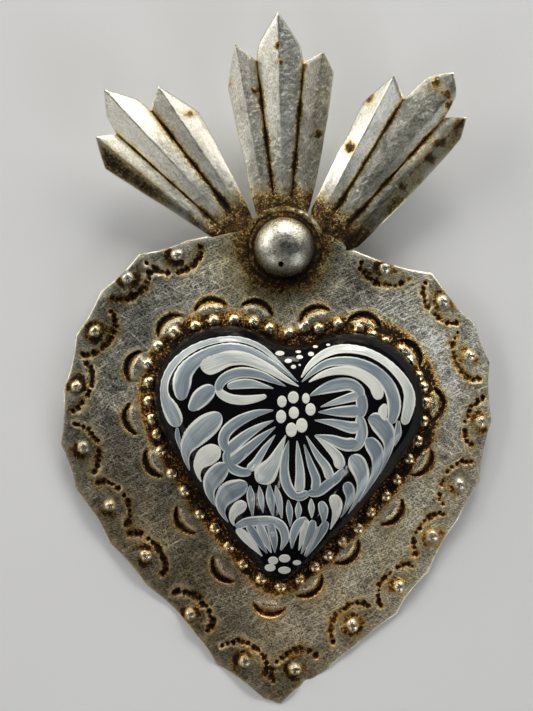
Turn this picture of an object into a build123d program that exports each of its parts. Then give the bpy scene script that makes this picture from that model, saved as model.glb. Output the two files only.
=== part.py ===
"""Tin sacred-heart wall ornament: pressed plate, pleated flames, half-ball and painted wooden heart.

Frame: +X to the viewer's right, +Z up, the front faces -Y and the wall is the plane Y = 0.
The origin is the centre of the nail hole, on the wall side of the hanger strap.
Flat shapes are drawn as seen from the front, about the axis of the half-ball, in millimetres.
"""
import math
import os

from build123d import *

os.makedirs("parts", exist_ok=True)

# Sheet and places
SHEET = 0.4  # tinplate thickness
DOME_ABOVE_NAIL = 10.0  # half-ball's axis above the nail hole

# Hanger strap behind the plate
STRAP_THICK = 0.6
STRAP_WIDTH = 9.0
NAIL_GAP = 4.6  # clear depth between the strap and the plate's back
NAIL_HOLE_R = 2.5
STRAP_FOOT_IN = 12.0  # where each foot starts, from the nail hole
STRAP_FOOT_LENGTH = 7.0
STRAP_BEND = 60.0  # degrees

# Heart plate: each half is a lobe arc and a flank arc that meets it at a tangent
PLATE_SHIFT = -2.15  # the hand-cut plate's axis, sideways from the half-ball's
PLATE_TIP_Z = -137.5
RIGHT_LOBE_X = 19.7
RIGHT_LOBE_Z = -46.1
RIGHT_LOBE_R = 46.3
RIGHT_FLANK_R = 137.0
LEFT_LOBE_X = 15.1
LEFT_LOBE_Z = -47.9
LEFT_LOBE_R = 51.0
LEFT_FLANK_R = 198.0
TIP_ROUND = 3.0
# Corners between the shallow snipped waves, at fractions of each side's length
LEFT_WAVES = (0.042, 0.12, 0.201, 0.282, 0.37, 0.459, 0.533, 0.635, 0.72, 0.841, 0.884)
RIGHT_WAVES = (0.137, 0.243, 0.31, 0.406, 0.505, 0.577, 0.673, 0.717, 0.758, 0.83, 0.912)
EDGE_WAVE_SAG = 0.045  # of each wave's length
NECK_HALF = 20.4  # from the axis to the notch on each side
NECK_R = 12.6  # round tongue behind the half-ball
NECK_FLARE = 25.0  # degrees above level where the tongue begins

# Bosses beaten up along the edge, at fractions of each side's length
BOSS_INSET = 5.0
BOSS_R = 2.3
BOSS_HEIGHT = 1.9
LEFT_BOSSES = (0.067, 0.157, 0.261, 0.36, 0.466, 0.577, 0.683, 0.808, 0.93)
RIGHT_BOSSES = (0.058, 0.173, 0.28, 0.397, 0.514, 0.616, 0.722, 0.827, 0.956)

# Painted heart: drawn upright from the point where its flanks would meet, then leaned
HEART_TIP_X = -1.8
HEART_TIP_Z = -101.3
HEART_LEAN = 3.4  # degrees clockwise
HEART_LOBE_X = 18.7
HEART_LOBE_UP = 55.6
HEART_LOBE_R = 21.5
HEART_FLANK_R = 205.0
HEART_CLEFT_R = 15.0
HEART_TIP_R = 6.0
HEART_CREST = 12.5  # highest point above the heart's own back
# Steps up its rounded side: height as a share of the crest's, inset as a share of the tip's radius
HEART_SIDE = ((0.0, 0.0), (0.15, 0.0), (0.42, 0.13), (0.66, 0.42), (1.0, 0.92))
PUFF_ACROSS_R = 66.0  # rounding across each lobe
PUFF_ALONG_R = 160.0  # rounding from lobe to tip
GLUE_THICK = 0.5
GLUE_INSET = 3.0

# Beads and crescents pressed round the painted heart
BEAD_COUNT = 44
BEAD_OFFSET = 2.5
BEAD_R = 1.9
BEAD_HEIGHT = 1.5
CRESCENT_COUNT = 17
CRESCENT_OFFSET = 8.2
CRESCENT_CHORD = 10.0
CRESCENT_SAG = 3.4
CRESCENT_WIDTH = 1.5
CRESCENT_DEPTH = 0.6

# Half-ball
DOME_R = 9.45
DOME_HEIGHT = 9.0
DOME_VENT = (-1.0, -5.4)  # small hole in its face, from its axis
DOME_VENT_R = 0.75
DOME_SOLDER_REACH = 1.4
DOME_SOLDER_HEIGHT = 1.3

# Flame plumes: root place from the half-ball's axis, direction from +X, as seen from the front
LEFT_ROOT = (-15.7, 6.6)
LEFT_ANGLE = 133.0
CENTRE_ROOT = (-0.3, 12.0)
CENTRE_ANGLE = 91.5
RIGHT_ROOT = (15.1, 6.0)
RIGHT_ANGLE = 52.8
FLAME_TILT = 8.0  # degrees forward from the plate
FLAME_TIP = 55.9  # lengths along the plume, from its root
FLAME_SHOULDER = 49.1
FLAME_NOTCH = 43.1
FLAME_SIDE_TIP = 46.4
FLAME_SIDE_SHOULDER = 37.3
ROOT_HALF = 8.0  # half-widths across the plume
SHOULDER_HALF = 5.3
NOTCH_HALF = 6.6
SIDE_TIP_HALF = 12.0
SIDE_SHOULDER_HALF = 15.3
ROOT_VALLEY_HALF = 2.6
ROOT_RIDGE_HALF = 5.3
PLEAT_START = 1.0  # the folds begin just clear of the neck
PLEAT_ROOT_DEPTH = 0.25
PLEAT_DEPTH = 3.2  # ridge above valley, at the notches
PLEAT_ARCH = 2.0  # how far the outer edges fall back, at the notches
LEAF_SAG = 0.7
FOOT_LENGTH = 6.0  # flat foot soldered behind the neck
FOOT_HALF = 5.0

# Solder runs at the back
SOLDER_REACH = 1.2
SOLDER_LAP = 0.9
SOLDER_BULGE = 0.5
SOLDER_END = 0.5  # stops short of the foot's corners

PLATE_BACK_Y = -(STRAP_THICK + NAIL_GAP)
PLATE_FRONT_Y = PLATE_BACK_Y - SHEET
HEART_BACK_Y = PLATE_FRONT_Y - GLUE_THICK


def facing(y):
    """A drawing plane at depth y that faces the viewer, centred on the half-ball's axis."""
    return Plane(origin=(0, y, DOME_ABOVE_NAIL), x_dir=(1, 0, 0), z_dir=(0, -1, 0))


def on_circle(centre, radius, start, end, share):
    """The point at a share of the way from one direction to another round a circle."""
    a = math.atan2(start.Y - centre.Y, start.X - centre.X)
    b = math.atan2(end.Y - centre.Y, end.X - centre.X)
    turn = a + (b - a) * share
    return centre + Vector(math.cos(turn), math.sin(turn)) * radius


def flank_centre(lobe, lobe_r, tip, flank_r):
    """Centre of the arc that starts at a heart's tip and meets the lobe's arc at a tangent."""
    span = (lobe - tip).length
    up = (lobe - tip).normalized()
    along = (flank_r**2 - (flank_r - lobe_r) ** 2 + span**2) / (2 * span)
    across = math.sqrt(flank_r**2 - along**2)
    return tip + up * along + Vector(-up.Y, up.X) * across


def arcs_through(points):
    """A wire of arcs that share their ends, from a list of end, middle, end, middle and so on."""
    with BuildLine() as line:
        for i in range(0, len(points) - 2, 2):
            ThreePointArc(*points[i:i + 3])
    return line.wire()


def plate_side(side, inset=0.0):
    """The plate's left or right side, from the neck notch to the tip, moved in by an inset."""
    if side > 0:
        lobe, lobe_r, flank_r = Vector(RIGHT_LOBE_X, RIGHT_LOBE_Z), RIGHT_LOBE_R, RIGHT_FLANK_R
    else:
        lobe, lobe_r, flank_r = Vector(LEFT_LOBE_X, LEFT_LOBE_Z), LEFT_LOBE_R, LEFT_FLANK_R
    flank = flank_centre(lobe, lobe_r, Vector(0, PLATE_TIP_Z), flank_r)
    small = lobe_r - inset
    large = flank_r - inset
    start_x = NECK_HALF - side * PLATE_SHIFT
    start = Vector(start_x, lobe.Y + math.sqrt(small**2 - (start_x - lobe.X) ** 2))
    touch = lobe + (lobe - flank).normalized() * small
    end = Vector(0, flank.Y - math.sqrt(large**2 - flank.X**2))
    points = [
        start,
        on_circle(lobe, small, start, touch, 0.5),
        touch,
        on_circle(flank, large, touch, end, 0.5),
        end,
    ]
    return arcs_through([Vector(side * p.X + PLATE_SHIFT, p.Y) for p in points])


def leaned(point):
    """A point of the upright painted heart, in the drawing about the half-ball's axis."""
    return point.rotate(Axis.Z, -HEART_LEAN) + Vector(HEART_TIP_X, HEART_TIP_Z)


def painted_side(side, inset=0.0):
    """One side of the painted heart, from its rounded cleft to its rounded tip."""
    lobe = Vector(HEART_LOBE_X, HEART_LOBE_UP)
    flank = flank_centre(lobe, HEART_LOBE_R, Vector(0, 0), HEART_FLANK_R)
    cleft = Vector(0, lobe.Y + math.sqrt((HEART_LOBE_R + HEART_CLEFT_R) ** 2 - lobe.X**2))
    tip = Vector(0, flank.Y - math.sqrt((HEART_FLANK_R - HEART_TIP_R) ** 2 - flank.X**2))
    start = cleft - Vector(0, HEART_CLEFT_R + inset)
    turn_in = lobe + (cleft - lobe).normalized() * (HEART_LOBE_R - inset)
    touch = lobe + (lobe - flank).normalized() * (HEART_LOBE_R - inset)
    turn_out = flank + (tip - flank).normalized() * (HEART_FLANK_R - inset)
    end = tip - Vector(0, HEART_TIP_R - inset)
    points = [
        start,
        on_circle(cleft, HEART_CLEFT_R + inset, start, turn_in, 0.5),
        turn_in,
        on_circle(lobe, HEART_LOBE_R - inset, turn_in, touch, 0.5),
        touch,
        on_circle(flank, HEART_FLANK_R - inset, touch, turn_out, 0.5),
        turn_out,
        on_circle(tip, HEART_TIP_R - inset, turn_out, end, 0.5),
        end,
    ]
    return arcs_through([leaned(Vector(side * p.X, p.Y)) for p in points])


def painted_outline(inset=0.0):
    """The painted heart's closed outline, clockwise from its cleft."""
    with BuildLine() as line:
        add(painted_side(1, inset))
        add(painted_side(-1, inset))
    return line.wire()


def along_heart(inset, count, first):
    """Evenly spaced places round the painted heart, each turned to follow its outline."""
    right = painted_side(1, inset)
    left = painted_side(-1, inset)
    places = []
    for i in range(count):
        t = 2 * (i + first) / count
        wire, share = (right, t) if t <= 1 else (left, 2 - t)
        point = wire.position_at(share)
        run = wire.tangent_at(share)
        turn = math.degrees(math.atan2(run.Y, run.X))
        places.append(Location((point.X, point.Y, 0), (0, 0, turn if t <= 1 else turn + 180)))
    return places


def cap_radius(base_r, height):
    """Radius of the sphere that a cap of this base and height is cut from."""
    return (base_r**2 + height**2) / (2 * height)


def waved_edge(side):
    """One side's snipped edge, from the neck to the tip, as corners with a hollow between each two."""
    wire = plate_side(side)
    corners = [wire.position_at(share) for share in (0, *(RIGHT_WAVES if side > 0 else LEFT_WAVES), 1)]
    points = corners[:1]
    for start, end in zip(corners[:-1], corners[1:]):
        run = end - start
        inward = Vector(-run.Y, run.X) * -side
        points += [(start + end) / 2 + inward * EDGE_WAVE_SAG, end]
    return points


# Heart plate: one sheet, cut, beaten up from behind and stamped from the front
with BuildSketch(Plane.XY) as crescent:
    with BuildLine():
        half = CRESCENT_CHORD / 2
        ThreePointArc((-half, 0), (0, CRESCENT_SAG), (half, 0))
        ThreePointArc((half, 0), (0, CRESCENT_SAG - CRESCENT_WIDTH), (-half, 0))
    make_face()

with BuildSketch(Plane.XY) as crescent_back:
    add(crescent.sketch)
    offset(amount=SHEET)

with BuildPart() as boss_cap:
    boss_sphere = cap_radius(BOSS_R, BOSS_HEIGHT)
    with Locations((0, 0, BOSS_HEIGHT - boss_sphere)):
        Sphere(boss_sphere)
    split(bisect_by=Plane.XY, keep=Keep.TOP)

with BuildPart() as bead_cap:
    bead_sphere = cap_radius(BEAD_R, BEAD_HEIGHT)
    with Locations((0, 0, BEAD_HEIGHT - bead_sphere)):
        Sphere(bead_sphere)
    split(bisect_by=Plane.XY, keep=Keep.TOP)

boss_places = []
for side, shares in ((-1, LEFT_BOSSES), (1, RIGHT_BOSSES)):
    inset_side = plate_side(side, BOSS_INSET)
    boss_places += [inset_side.position_at(share) for share in shares]
bead_places = [place.position for place in along_heart(-BEAD_OFFSET, BEAD_COUNT, 0.0)]
crescent_sink = CRESCENT_OFFSET - CRESCENT_SAG
crescent_places = along_heart(-crescent_sink, CRESCENT_COUNT, 0.5)

with BuildPart(facing(PLATE_FRONT_Y)) as heart_plate:
    with BuildSketch(facing(PLATE_BACK_Y)):
        with BuildLine():
            add(arcs_through(waved_edge(-1)))
            add(arcs_through(waved_edge(1)))
            tongue = math.radians(NECK_FLARE)
            tongue_x = NECK_R * math.cos(tongue)
            tongue_z = NECK_R * math.sin(tongue)
            Line(waved_edge(-1)[0], (-tongue_x, tongue_z))
            ThreePointArc((-tongue_x, tongue_z), (0, NECK_R), (tongue_x, tongue_z))
            Line((tongue_x, tongue_z), waved_edge(1)[0])
        make_face()
        fillet(vertices().sort_by(Axis.Y)[0], TIP_ROUND)
    extrude(amount=SHEET)
    with BuildSketch(facing(PLATE_BACK_Y)):
        with Locations(*crescent_places):
            add(crescent_back.sketch)
    extrude(amount=-CRESCENT_DEPTH)
    with Locations(*boss_places):
        add(boss_cap.part)
    with Locations(*bead_places):
        add(bead_cap.part)
    with Locations(*[p + Vector(0, 0, BOSS_HEIGHT - boss_sphere) for p in boss_places]):
        Sphere(boss_sphere - SHEET, mode=Mode.SUBTRACT)
    with Locations(*[p + Vector(0, 0, BEAD_HEIGHT - bead_sphere) for p in bead_places]):
        Sphere(bead_sphere - SHEET, mode=Mode.SUBTRACT)
    with BuildSketch(facing(PLATE_FRONT_Y)):
        with Locations(*crescent_places):
            add(crescent.sketch)
    extrude(amount=-CRESCENT_DEPTH, mode=Mode.SUBTRACT)


# Flame plumes: a fan of three ridged leaves folded in one sheet, on a flat foot
def flame_frame(root, angle):
    """Across, along and root point of a plume, in the part's frame."""
    turn = math.radians(angle)
    along = Vector(math.cos(turn), 0, math.sin(turn))
    across = Vector(math.sin(turn), 0, -math.cos(turn))
    origin = Vector(root[0], PLATE_BACK_Y, root[1] + DOME_ABOVE_NAIL)
    return origin, across, along


def flame(root, angle):
    """A pleated plume: folds that open out from the root, trimmed to three pointed leaves."""
    origin, across, along = flame_frame(root, angle)
    flat = Plane(origin=origin, x_dir=across, z_dir=(0, -1, 0))
    end = FLAME_TIP + SHEET
    reach = (end - PLEAT_START) / (FLAME_NOTCH - PLEAT_START)
    valley = ROOT_VALLEY_HALF + (NOTCH_HALF - ROOT_VALLEY_HALF) * reach
    ridge_reach = (end - PLEAT_START) / (FLAME_SIDE_TIP - PLEAT_START)
    ridge = ROOT_RIDGE_HALF + (SIDE_TIP_HALF - ROOT_RIDGE_HALF) * ridge_reach
    edge_reach = end / FLAME_SIDE_SHOULDER
    edge = ROOT_HALF + (SIDE_SHOULDER_HALF - ROOT_HALF) * edge_reach + 1.5 * SHEET
    depth = PLEAT_ROOT_DEPTH + (PLEAT_DEPTH - PLEAT_ROOT_DEPTH) * reach
    arch = PLEAT_ARCH * reach / edge**2
    lift = (end - PLEAT_START) * math.tan(math.radians(FLAME_TILT))
    stations = (
        (PLEAT_START, ROOT_VALLEY_HALF, ROOT_RIDGE_HALF, ROOT_HALF + SHEET, 0.0, -PLEAT_ROOT_DEPTH, 0.0),
        (end, valley, ridge, edge, lift + depth / 2, lift - depth / 2, arch),
    )
    with BuildPart() as plume:
        for station, valley_u, ridge_u, edge_u, high, low, fall in stations:
            folds = [(-edge_u, low), (-ridge_u, high), (-valley_u, low), (0, high),
                     (valley_u, low), (ridge_u, high), (edge_u, low)]
            folds = [(u, w - fall * u**2) for u, w in folds]
            under = [(u, w - SHEET) for u, w in reversed(folds)]
            with BuildSketch(Plane(origin=origin + along * station, x_dir=across, z_dir=-along)):
                with BuildLine():
                    Polyline(*folds, *under, close=True)
                make_face()
        loft(ruled=True)
        with BuildSketch(flat):
            with BuildLine():
                Polyline((-FOOT_HALF, -FOOT_LENGTH), (-ROOT_HALF, 0), (-ROOT_HALF, PLEAT_START + SHEET),
                         (ROOT_HALF, PLEAT_START + SHEET), (ROOT_HALF, 0), (FOOT_HALF, -FOOT_LENGTH), close=True)
            make_face()
        extrude(amount=-SHEET)
        with BuildSketch(flat):
            with BuildLine():
                Polyline((-SIDE_SHOULDER_HALF, FLAME_SIDE_SHOULDER), (-ROOT_HALF, 0), (-FOOT_HALF, -FOOT_LENGTH),
                         (FOOT_HALF, -FOOT_LENGTH), (ROOT_HALF, 0), (SIDE_SHOULDER_HALF, FLAME_SIDE_SHOULDER))
                for side in (-1, 1):
                    shoulder = (side * SIDE_SHOULDER_HALF, FLAME_SIDE_SHOULDER)
                    side_tip = (side * SIDE_TIP_HALF, FLAME_SIDE_TIP)
                    notch = (side * NOTCH_HALF, FLAME_NOTCH)
                    middle = (side * SHOULDER_HALF, FLAME_SHOULDER)
                    SagittaArc(shoulder, side_tip, -side * LEAF_SAG)
                    SagittaArc(side_tip, notch, -side * LEAF_SAG)
                    SagittaArc(notch, middle, -side * LEAF_SAG / 2)
                    SagittaArc(middle, (0, FLAME_TIP), -side * LEAF_SAG)
            make_face()
        extrude(amount=2 * lift + depth, both=True, mode=Mode.INTERSECT)
    return plume


left_flame = flame(LEFT_ROOT, LEFT_ANGLE)
centre_flame = flame(CENTRE_ROOT, CENTRE_ANGLE)
right_flame = flame(RIGHT_ROOT, RIGHT_ANGLE)


# Half-ball: a pressed hollow cup, and the solder run round its foot
dome_sphere = cap_radius(DOME_R, DOME_HEIGHT)
dome_drop = DOME_HEIGHT - dome_sphere
dome_axis = Axis((0, 0, DOME_ABOVE_NAIL), (0, -1, 0))
dome_section = Plane(origin=(0, PLATE_FRONT_Y, DOME_ABOVE_NAIL), x_dir=(1, 0, 0), z_dir=(0, 0, 1))


def sphere_at(radius, height):
    """Distance from the half-ball's axis to a sphere about its centre, at a height off the plate."""
    return math.sqrt(radius**2 - (height - dome_drop) ** 2)


with BuildPart(facing(PLATE_FRONT_Y)) as dome_boss:
    with Locations((0, 0, dome_drop)):
        Sphere(dome_sphere)
        Sphere(dome_sphere - SHEET, mode=Mode.SUBTRACT)
    split(bisect_by=facing(PLATE_FRONT_Y), keep=Keep.TOP)
    with Locations((*DOME_VENT, DOME_HEIGHT)):
        Cylinder(DOME_VENT_R, DOME_HEIGHT, mode=Mode.SUBTRACT)

with BuildPart() as dome_solder:
    with BuildSketch(dome_section):
        with BuildLine():
            foot = (sphere_at(dome_sphere, 0), 0)
            middle = (sphere_at(dome_sphere, DOME_SOLDER_HEIGHT / 2), -DOME_SOLDER_HEIGHT / 2)
            top = (sphere_at(dome_sphere, DOME_SOLDER_HEIGHT), -DOME_SOLDER_HEIGHT)
            rim = (foot[0] + DOME_SOLDER_REACH, 0)
            ThreePointArc(foot, middle, top)
            Line(top, rim)
            Line(rim, foot)
        make_face()
    revolve(axis=dome_axis)


# Painted heart: a rounded side under a puffed lobe, mirrored so that a crease runs down from the cleft
heart_back = facing(HEART_BACK_Y)
heart_tip = heart_back.from_local_coords(leaned(Vector(0, 0)))
lobe_centre = heart_back.from_local_coords(leaned(Vector(HEART_LOBE_X, HEART_LOBE_UP)))
heart_right = heart_back.from_local_coords(leaned(Vector(1, 0))) - heart_tip
heart_axis = Plane(origin=heart_tip, x_dir=(0, -1, 0), z_dir=heart_right)
lobe_up = (lobe_centre - heart_tip).normalized()
lobe_section = Plane(origin=lobe_centre, x_dir=lobe_up, z_dir=lobe_up.cross(Vector(0, -1, 0)))
puff_core = HEART_CREST - PUFF_ACROSS_R
puff_half = (lobe_centre - heart_tip).length + HEART_LOBE_R
puff_end = HEART_CREST - PUFF_ALONG_R + math.sqrt(PUFF_ALONG_R**2 - puff_half**2)

with BuildPart() as puffed_lobe:
    with BuildSketch(lobe_section):
        with BuildLine():
            ThreePointArc((-puff_half, puff_end), (0, HEART_CREST), (puff_half, puff_end))
            Polyline((puff_half, puff_end), (puff_half, puff_core), (-puff_half, puff_core), (-puff_half, puff_end))
        make_face()
    revolve(axis=Axis(lobe_centre - Vector(0, puff_core, 0), lobe_up))

with BuildPart() as painted_heart:
    for height, inset in HEART_SIDE:
        with BuildSketch(facing(HEART_BACK_Y - height * HEART_CREST)):
            make_face(painted_outline(inset * HEART_TIP_R))
    loft(ruled=True)
    split(bisect_by=heart_axis, keep=Keep.TOP)
    add(puffed_lobe.part, mode=Mode.INTERSECT)
    mirror(about=heart_axis)

with BuildPart() as heart_glue_bed:
    with BuildSketch(facing(PLATE_FRONT_Y)):
        make_face(painted_outline(GLUE_INSET))
    extrude(amount=GLUE_THICK)


# Hanger strap: a bridge of bent strip with a punched nail hole, soldered by its two feet
bend = math.radians(STRAP_BEND)
bend_shift = STRAP_THICK * math.tan(bend / 2)
bridge_half = STRAP_FOOT_IN - NAIL_GAP / math.tan(bend)
foot_end = STRAP_FOOT_IN + STRAP_FOOT_LENGTH

with BuildPart() as hanger_strap:
    with BuildSketch(Plane.XY):
        with BuildLine():
            front = [(foot_end, PLATE_BACK_Y), (STRAP_FOOT_IN, PLATE_BACK_Y), (bridge_half, -STRAP_THICK)]
            back = [(bridge_half + bend_shift, 0), (STRAP_FOOT_IN + bend_shift, PLATE_BACK_Y + STRAP_THICK),
                    (foot_end, PLATE_BACK_Y + STRAP_THICK)]
            mirrored = [(-x, y) for x, y in front + back]
            Polyline(*back, *front, *reversed(mirrored[0:3]), *reversed(mirrored[3:6]), close=True)
        make_face()
    extrude(amount=STRAP_WIDTH / 2, both=True)
    with Locations(Location((0, 0, 0), (90, 0, 0))):
        Cylinder(NAIL_HOLE_R, 4 * STRAP_THICK, mode=Mode.SUBTRACT)


# Solder runs: a rounded fillet of solder along the end of each foot
def solder_run(origin, along, across, thick, length):
    """Solder that laps a foot of this thickness at its end and flows on to the plate's back."""
    with BuildSketch(Plane(origin=origin, x_dir=along, z_dir=across)) as profile:
        with BuildLine():
            Polyline((-SOLDER_REACH, 0), (0, 0), (0, -thick), (SOLDER_LAP, -thick))
            crown = ((SOLDER_LAP - SOLDER_REACH) / 2, -thick - SOLDER_BULGE)
            ThreePointArc((SOLDER_LAP, -thick), crown, (-SOLDER_REACH, 0))
        make_face()
    extrude(profile.sketch, amount=length / 2, both=True)


with BuildPart() as flame_solder:
    for root, angle in ((LEFT_ROOT, LEFT_ANGLE), (CENTRE_ROOT, CENTRE_ANGLE), (RIGHT_ROOT, RIGHT_ANGLE)):
        root_point, across, along = flame_frame(root, angle)
        solder_run(root_point - along * FOOT_LENGTH, along, across, SHEET, 2 * (FOOT_HALF - SOLDER_END))

with BuildPart() as hanger_solder:
    for side in (-1, 1):
        inward = Vector(-side, 0, 0)
        solder_run(Vector(side * foot_end, PLATE_BACK_Y, 0), inward, inward.cross(Vector(0, -1, 0)),
                   STRAP_THICK, STRAP_WIDTH - 2 * SOLDER_END)


heart_plate.part.label = "heart_plate"
export_step(heart_plate.part, "parts/heart_plate.step")
left_flame.part.label = "left_flame"
export_step(left_flame.part, "parts/left_flame.step")
centre_flame.part.label = "centre_flame"
export_step(centre_flame.part, "parts/centre_flame.step")
right_flame.part.label = "right_flame"
export_step(right_flame.part, "parts/right_flame.step")
dome_boss.part.label = "dome_boss"
export_step(dome_boss.part, "parts/dome_boss.step")
dome_solder.part.label = "dome_solder"
export_step(dome_solder.part, "parts/dome_solder.step")
painted_heart.part.label = "painted_heart"
export_step(painted_heart.part, "parts/painted_heart.step")
heart_glue_bed.part.label = "heart_glue_bed"
export_step(heart_glue_bed.part, "parts/heart_glue_bed.step")
hanger_strap.part.label = "hanger_strap"
export_step(hanger_strap.part, "parts/hanger_strap.step")
flame_solder.part.label = "flame_solder"
export_step(flame_solder.part, "parts/flame_solder.step")
hanger_solder.part.label = "hanger_solder"
export_step(hanger_solder.part, "parts/hanger_solder.step")
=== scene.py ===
# %% [markdown]
# # A tin heart with flames
# The ornament is hand-cut tinplate: a beaten heart-shaped plate, three folded flame plumes, a
# half-ball and a puffed wooden heart with folk flowers painted on black lacquer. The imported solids
# give the frame and the main sizes, and the handwork is read off a photograph. This lesson dresses
# the solids: thin sheets with real dents and folds, raised brush strokes, and finishes from nodes.

# %% Load the frame
import math
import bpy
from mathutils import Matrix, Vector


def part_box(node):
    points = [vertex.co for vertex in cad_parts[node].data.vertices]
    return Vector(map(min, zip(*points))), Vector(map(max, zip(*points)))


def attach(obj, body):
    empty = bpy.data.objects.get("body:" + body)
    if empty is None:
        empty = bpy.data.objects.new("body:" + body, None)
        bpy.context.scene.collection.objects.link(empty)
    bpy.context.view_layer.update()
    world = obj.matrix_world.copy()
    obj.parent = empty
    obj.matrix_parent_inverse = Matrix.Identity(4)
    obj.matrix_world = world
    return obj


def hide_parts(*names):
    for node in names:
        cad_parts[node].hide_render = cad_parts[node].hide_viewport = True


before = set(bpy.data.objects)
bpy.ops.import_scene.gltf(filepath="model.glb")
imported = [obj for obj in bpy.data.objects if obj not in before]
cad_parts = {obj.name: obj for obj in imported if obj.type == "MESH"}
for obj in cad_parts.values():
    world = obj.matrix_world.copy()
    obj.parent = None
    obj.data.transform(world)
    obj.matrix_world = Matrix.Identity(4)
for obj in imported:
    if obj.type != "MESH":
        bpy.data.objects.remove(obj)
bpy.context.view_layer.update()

from types import SimpleNamespace

import bpy
import numpy as np
from mathutils import Matrix, Vector, noise
from mathutils.geometry import delaunay_2d_cdt

MM = 0.001

# %% [markdown]
# ## The camera
# The photograph looks straight at the plate from a hand's reach. A camera can be placed by eye, but
# a known scale is surer: one pixel covers 0.3 mm of the plate's face, so the lens follows from the
# distance. The same numbers turn a pixel read off the photograph into a place on the object.

# %% Camera and the way back from a pixel
IMAGE_W = 533
IMAGE_H = 711
PIXEL = 0.3  # mm on the plate's face
CAMERA_AWAY = 345.0  # mm from the plate's face
VIEW_X = -5.25  # mm, the middle of the picture
VIEW_Z = -22.25
NEAREST = 0.01  # m, closer than any piece is
PLATE_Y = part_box("heart_glue_bed")[1].y / MM

camera = bpy.data.objects.new("camera", bpy.data.cameras.new("camera"))
bpy.context.scene.collection.objects.link(camera)
bpy.context.scene.camera = camera
camera.location = Vector((VIEW_X, PLATE_Y - CAMERA_AWAY, VIEW_Z)) * MM
camera.rotation_euler = (math.pi / 2, 0, 0)
camera.data.lens = camera.data.sensor_width * CAMERA_AWAY / (PIXEL * IMAGE_H)
camera.data.clip_start = NEAREST


def seen(pixels, height=0.0):
    """Where pixels fall on a plane this far in front of the plate's face, as x and z in mm."""
    pixels = np.asarray(pixels, float)
    scale = PIXEL * (1 - np.asarray(height) / CAMERA_AWAY)
    x = VIEW_X + (pixels[..., 0] - IMAGE_W / 2) * scale
    z = VIEW_Z - (pixels[..., 1] - IMAGE_H / 2) * scale
    return np.stack([x, z], -1)


print("lens in mm:", round(camera.data.lens, 1))

# %% [markdown]
# ## Writing shaders as sums
# Node trees are easier to read as expressions. One small class wraps a socket, so that `1 - mask`
# adds its own Math node, and one method adds any other node from its type, settings and sockets.


# %% Sockets that add up, and a finish to hold them
class Wire:
    """A socket that takes part in sums."""

    def __init__(self, finish, socket):
        self.finish = finish
        self.socket = socket

    def math(self, operation, first, second):
        return self.finish.node("ShaderNodeMath", {"operation": operation}, {0: first, 1: second})

    def __add__(self, other):
        return self.math("ADD", self, other)

    def __sub__(self, other):
        return self.math("SUBTRACT", self, other)

    def __mul__(self, other):
        return self.math("MULTIPLY", self, other)

    def __radd__(self, other):
        return self.math("ADD", other, self)

    def __rsub__(self, other):
        return self.math("SUBTRACT", other, self)

    def __rmul__(self, other):
        return self.math("MULTIPLY", other, self)


class Finish:
    """A node tree under construction, for a material or the world."""

    def __init__(self, owner):
        self.owner = owner
        owner.use_nodes = True
        self.tree = owner.node_tree
        self.tree.nodes.clear()

    def node(self, kind, settings=None, sockets=None, output=0):
        made = self.tree.nodes.new(kind)
        for key, value in (settings or {}).items():
            if key == "stops":
                ramp = made.color_ramp.elements
                while len(ramp) < len(value):
                    ramp.new(1.0)
                for element, (place, colour) in zip(ramp, value):
                    element.position = place
                    element.color = (*colour, 1)
            else:
                setattr(made, key, value)
        for key, value in (sockets or {}).items():
            socket = made.inputs[key]
            if isinstance(value, Wire):
                self.tree.links.new(value.socket, socket)
            elif socket.type == "RGBA" and len(value) == 3:
                socket.default_value = (*value, 1)
            else:
                socket.default_value = value
        return Wire(self, made.outputs[output]) if len(made.outputs) else made

    def mix(self, factor, first, second):
        return self.node("ShaderNodeMix", {"data_type": "RGBA"}, {0: factor, 6: first, 7: second}, 2)

    def times(self, first, second):
        return self.node("ShaderNodeMix", {"data_type": "RGBA", "blend_type": "MULTIPLY"},
                         {0: 1.0, 6: first, 7: second}, 2)

    def tint(self, colour, value):
        return self.node("ShaderNodeVectorMath", {"operation": "SCALE"}, {0: colour, "Scale": value})

    def ease(self, value, low, high):
        return self.node("ShaderNodeMapRange", {"interpolation_type": "SMOOTHSTEP"},
                         {"Value": value, "From Min": low, "From Max": high})

    def mark(self, name):
        return self.node("ShaderNodeAttribute", {"attribute_name": name}, output="Fac")

    def place(self, stretch=(1, 1, 1), turn=0.0):
        """The point on the object in mm, turned in the plane of the plate and stretched."""
        here = self.node("ShaderNodeTexCoord", output="Object")
        return self.node("ShaderNodeMapping", {"vector_type": "TEXTURE"},
                         {"Vector": here, "Rotation": (0, turn, 0), "Scale": [s * MM for s in stretch]})

    def cloud(self, place, scale, detail=3.0, rough=0.5):
        return self.node("ShaderNodeTexNoise", None,
                         {"Vector": place, "Scale": scale, "Detail": detail, "Roughness": rough})

    def bump(self, height):
        """A bump whose height is in mm."""
        return self.node("ShaderNodeBump", None, {"Height": height, "Strength": 1.0, "Distance": MM})

    def surface(self, sockets):
        shader = self.node("ShaderNodeBsdfPrincipled", None, sockets)
        self.node("ShaderNodeOutputMaterial", None, {"Surface": shader})
        return self.owner


def finish(name):
    return Finish(bpy.data.materials.new(name))


print("shader kit ready")

# %% [markdown]
# ## The pale sheet behind, and the light
# The ornament rests by its strap and its tip, so the pale sheet behind it leans a little. It is
# one-sided: seen from behind it lets the view through, which keeps the hanger in sight, and it stops
# no lamplight, so a lamp behind can light the back. The gleams on the half-ball tell where the other
# lamps were: a window on the left, a bar over the top right and weak ones below, mostly well off to
# the side, with a dim patch where the photographer stood. Three tiny lamps give the lacquer its
# small gleams. One lamp beside the camera would be simpler, but metal lit like that looks flat.

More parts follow.
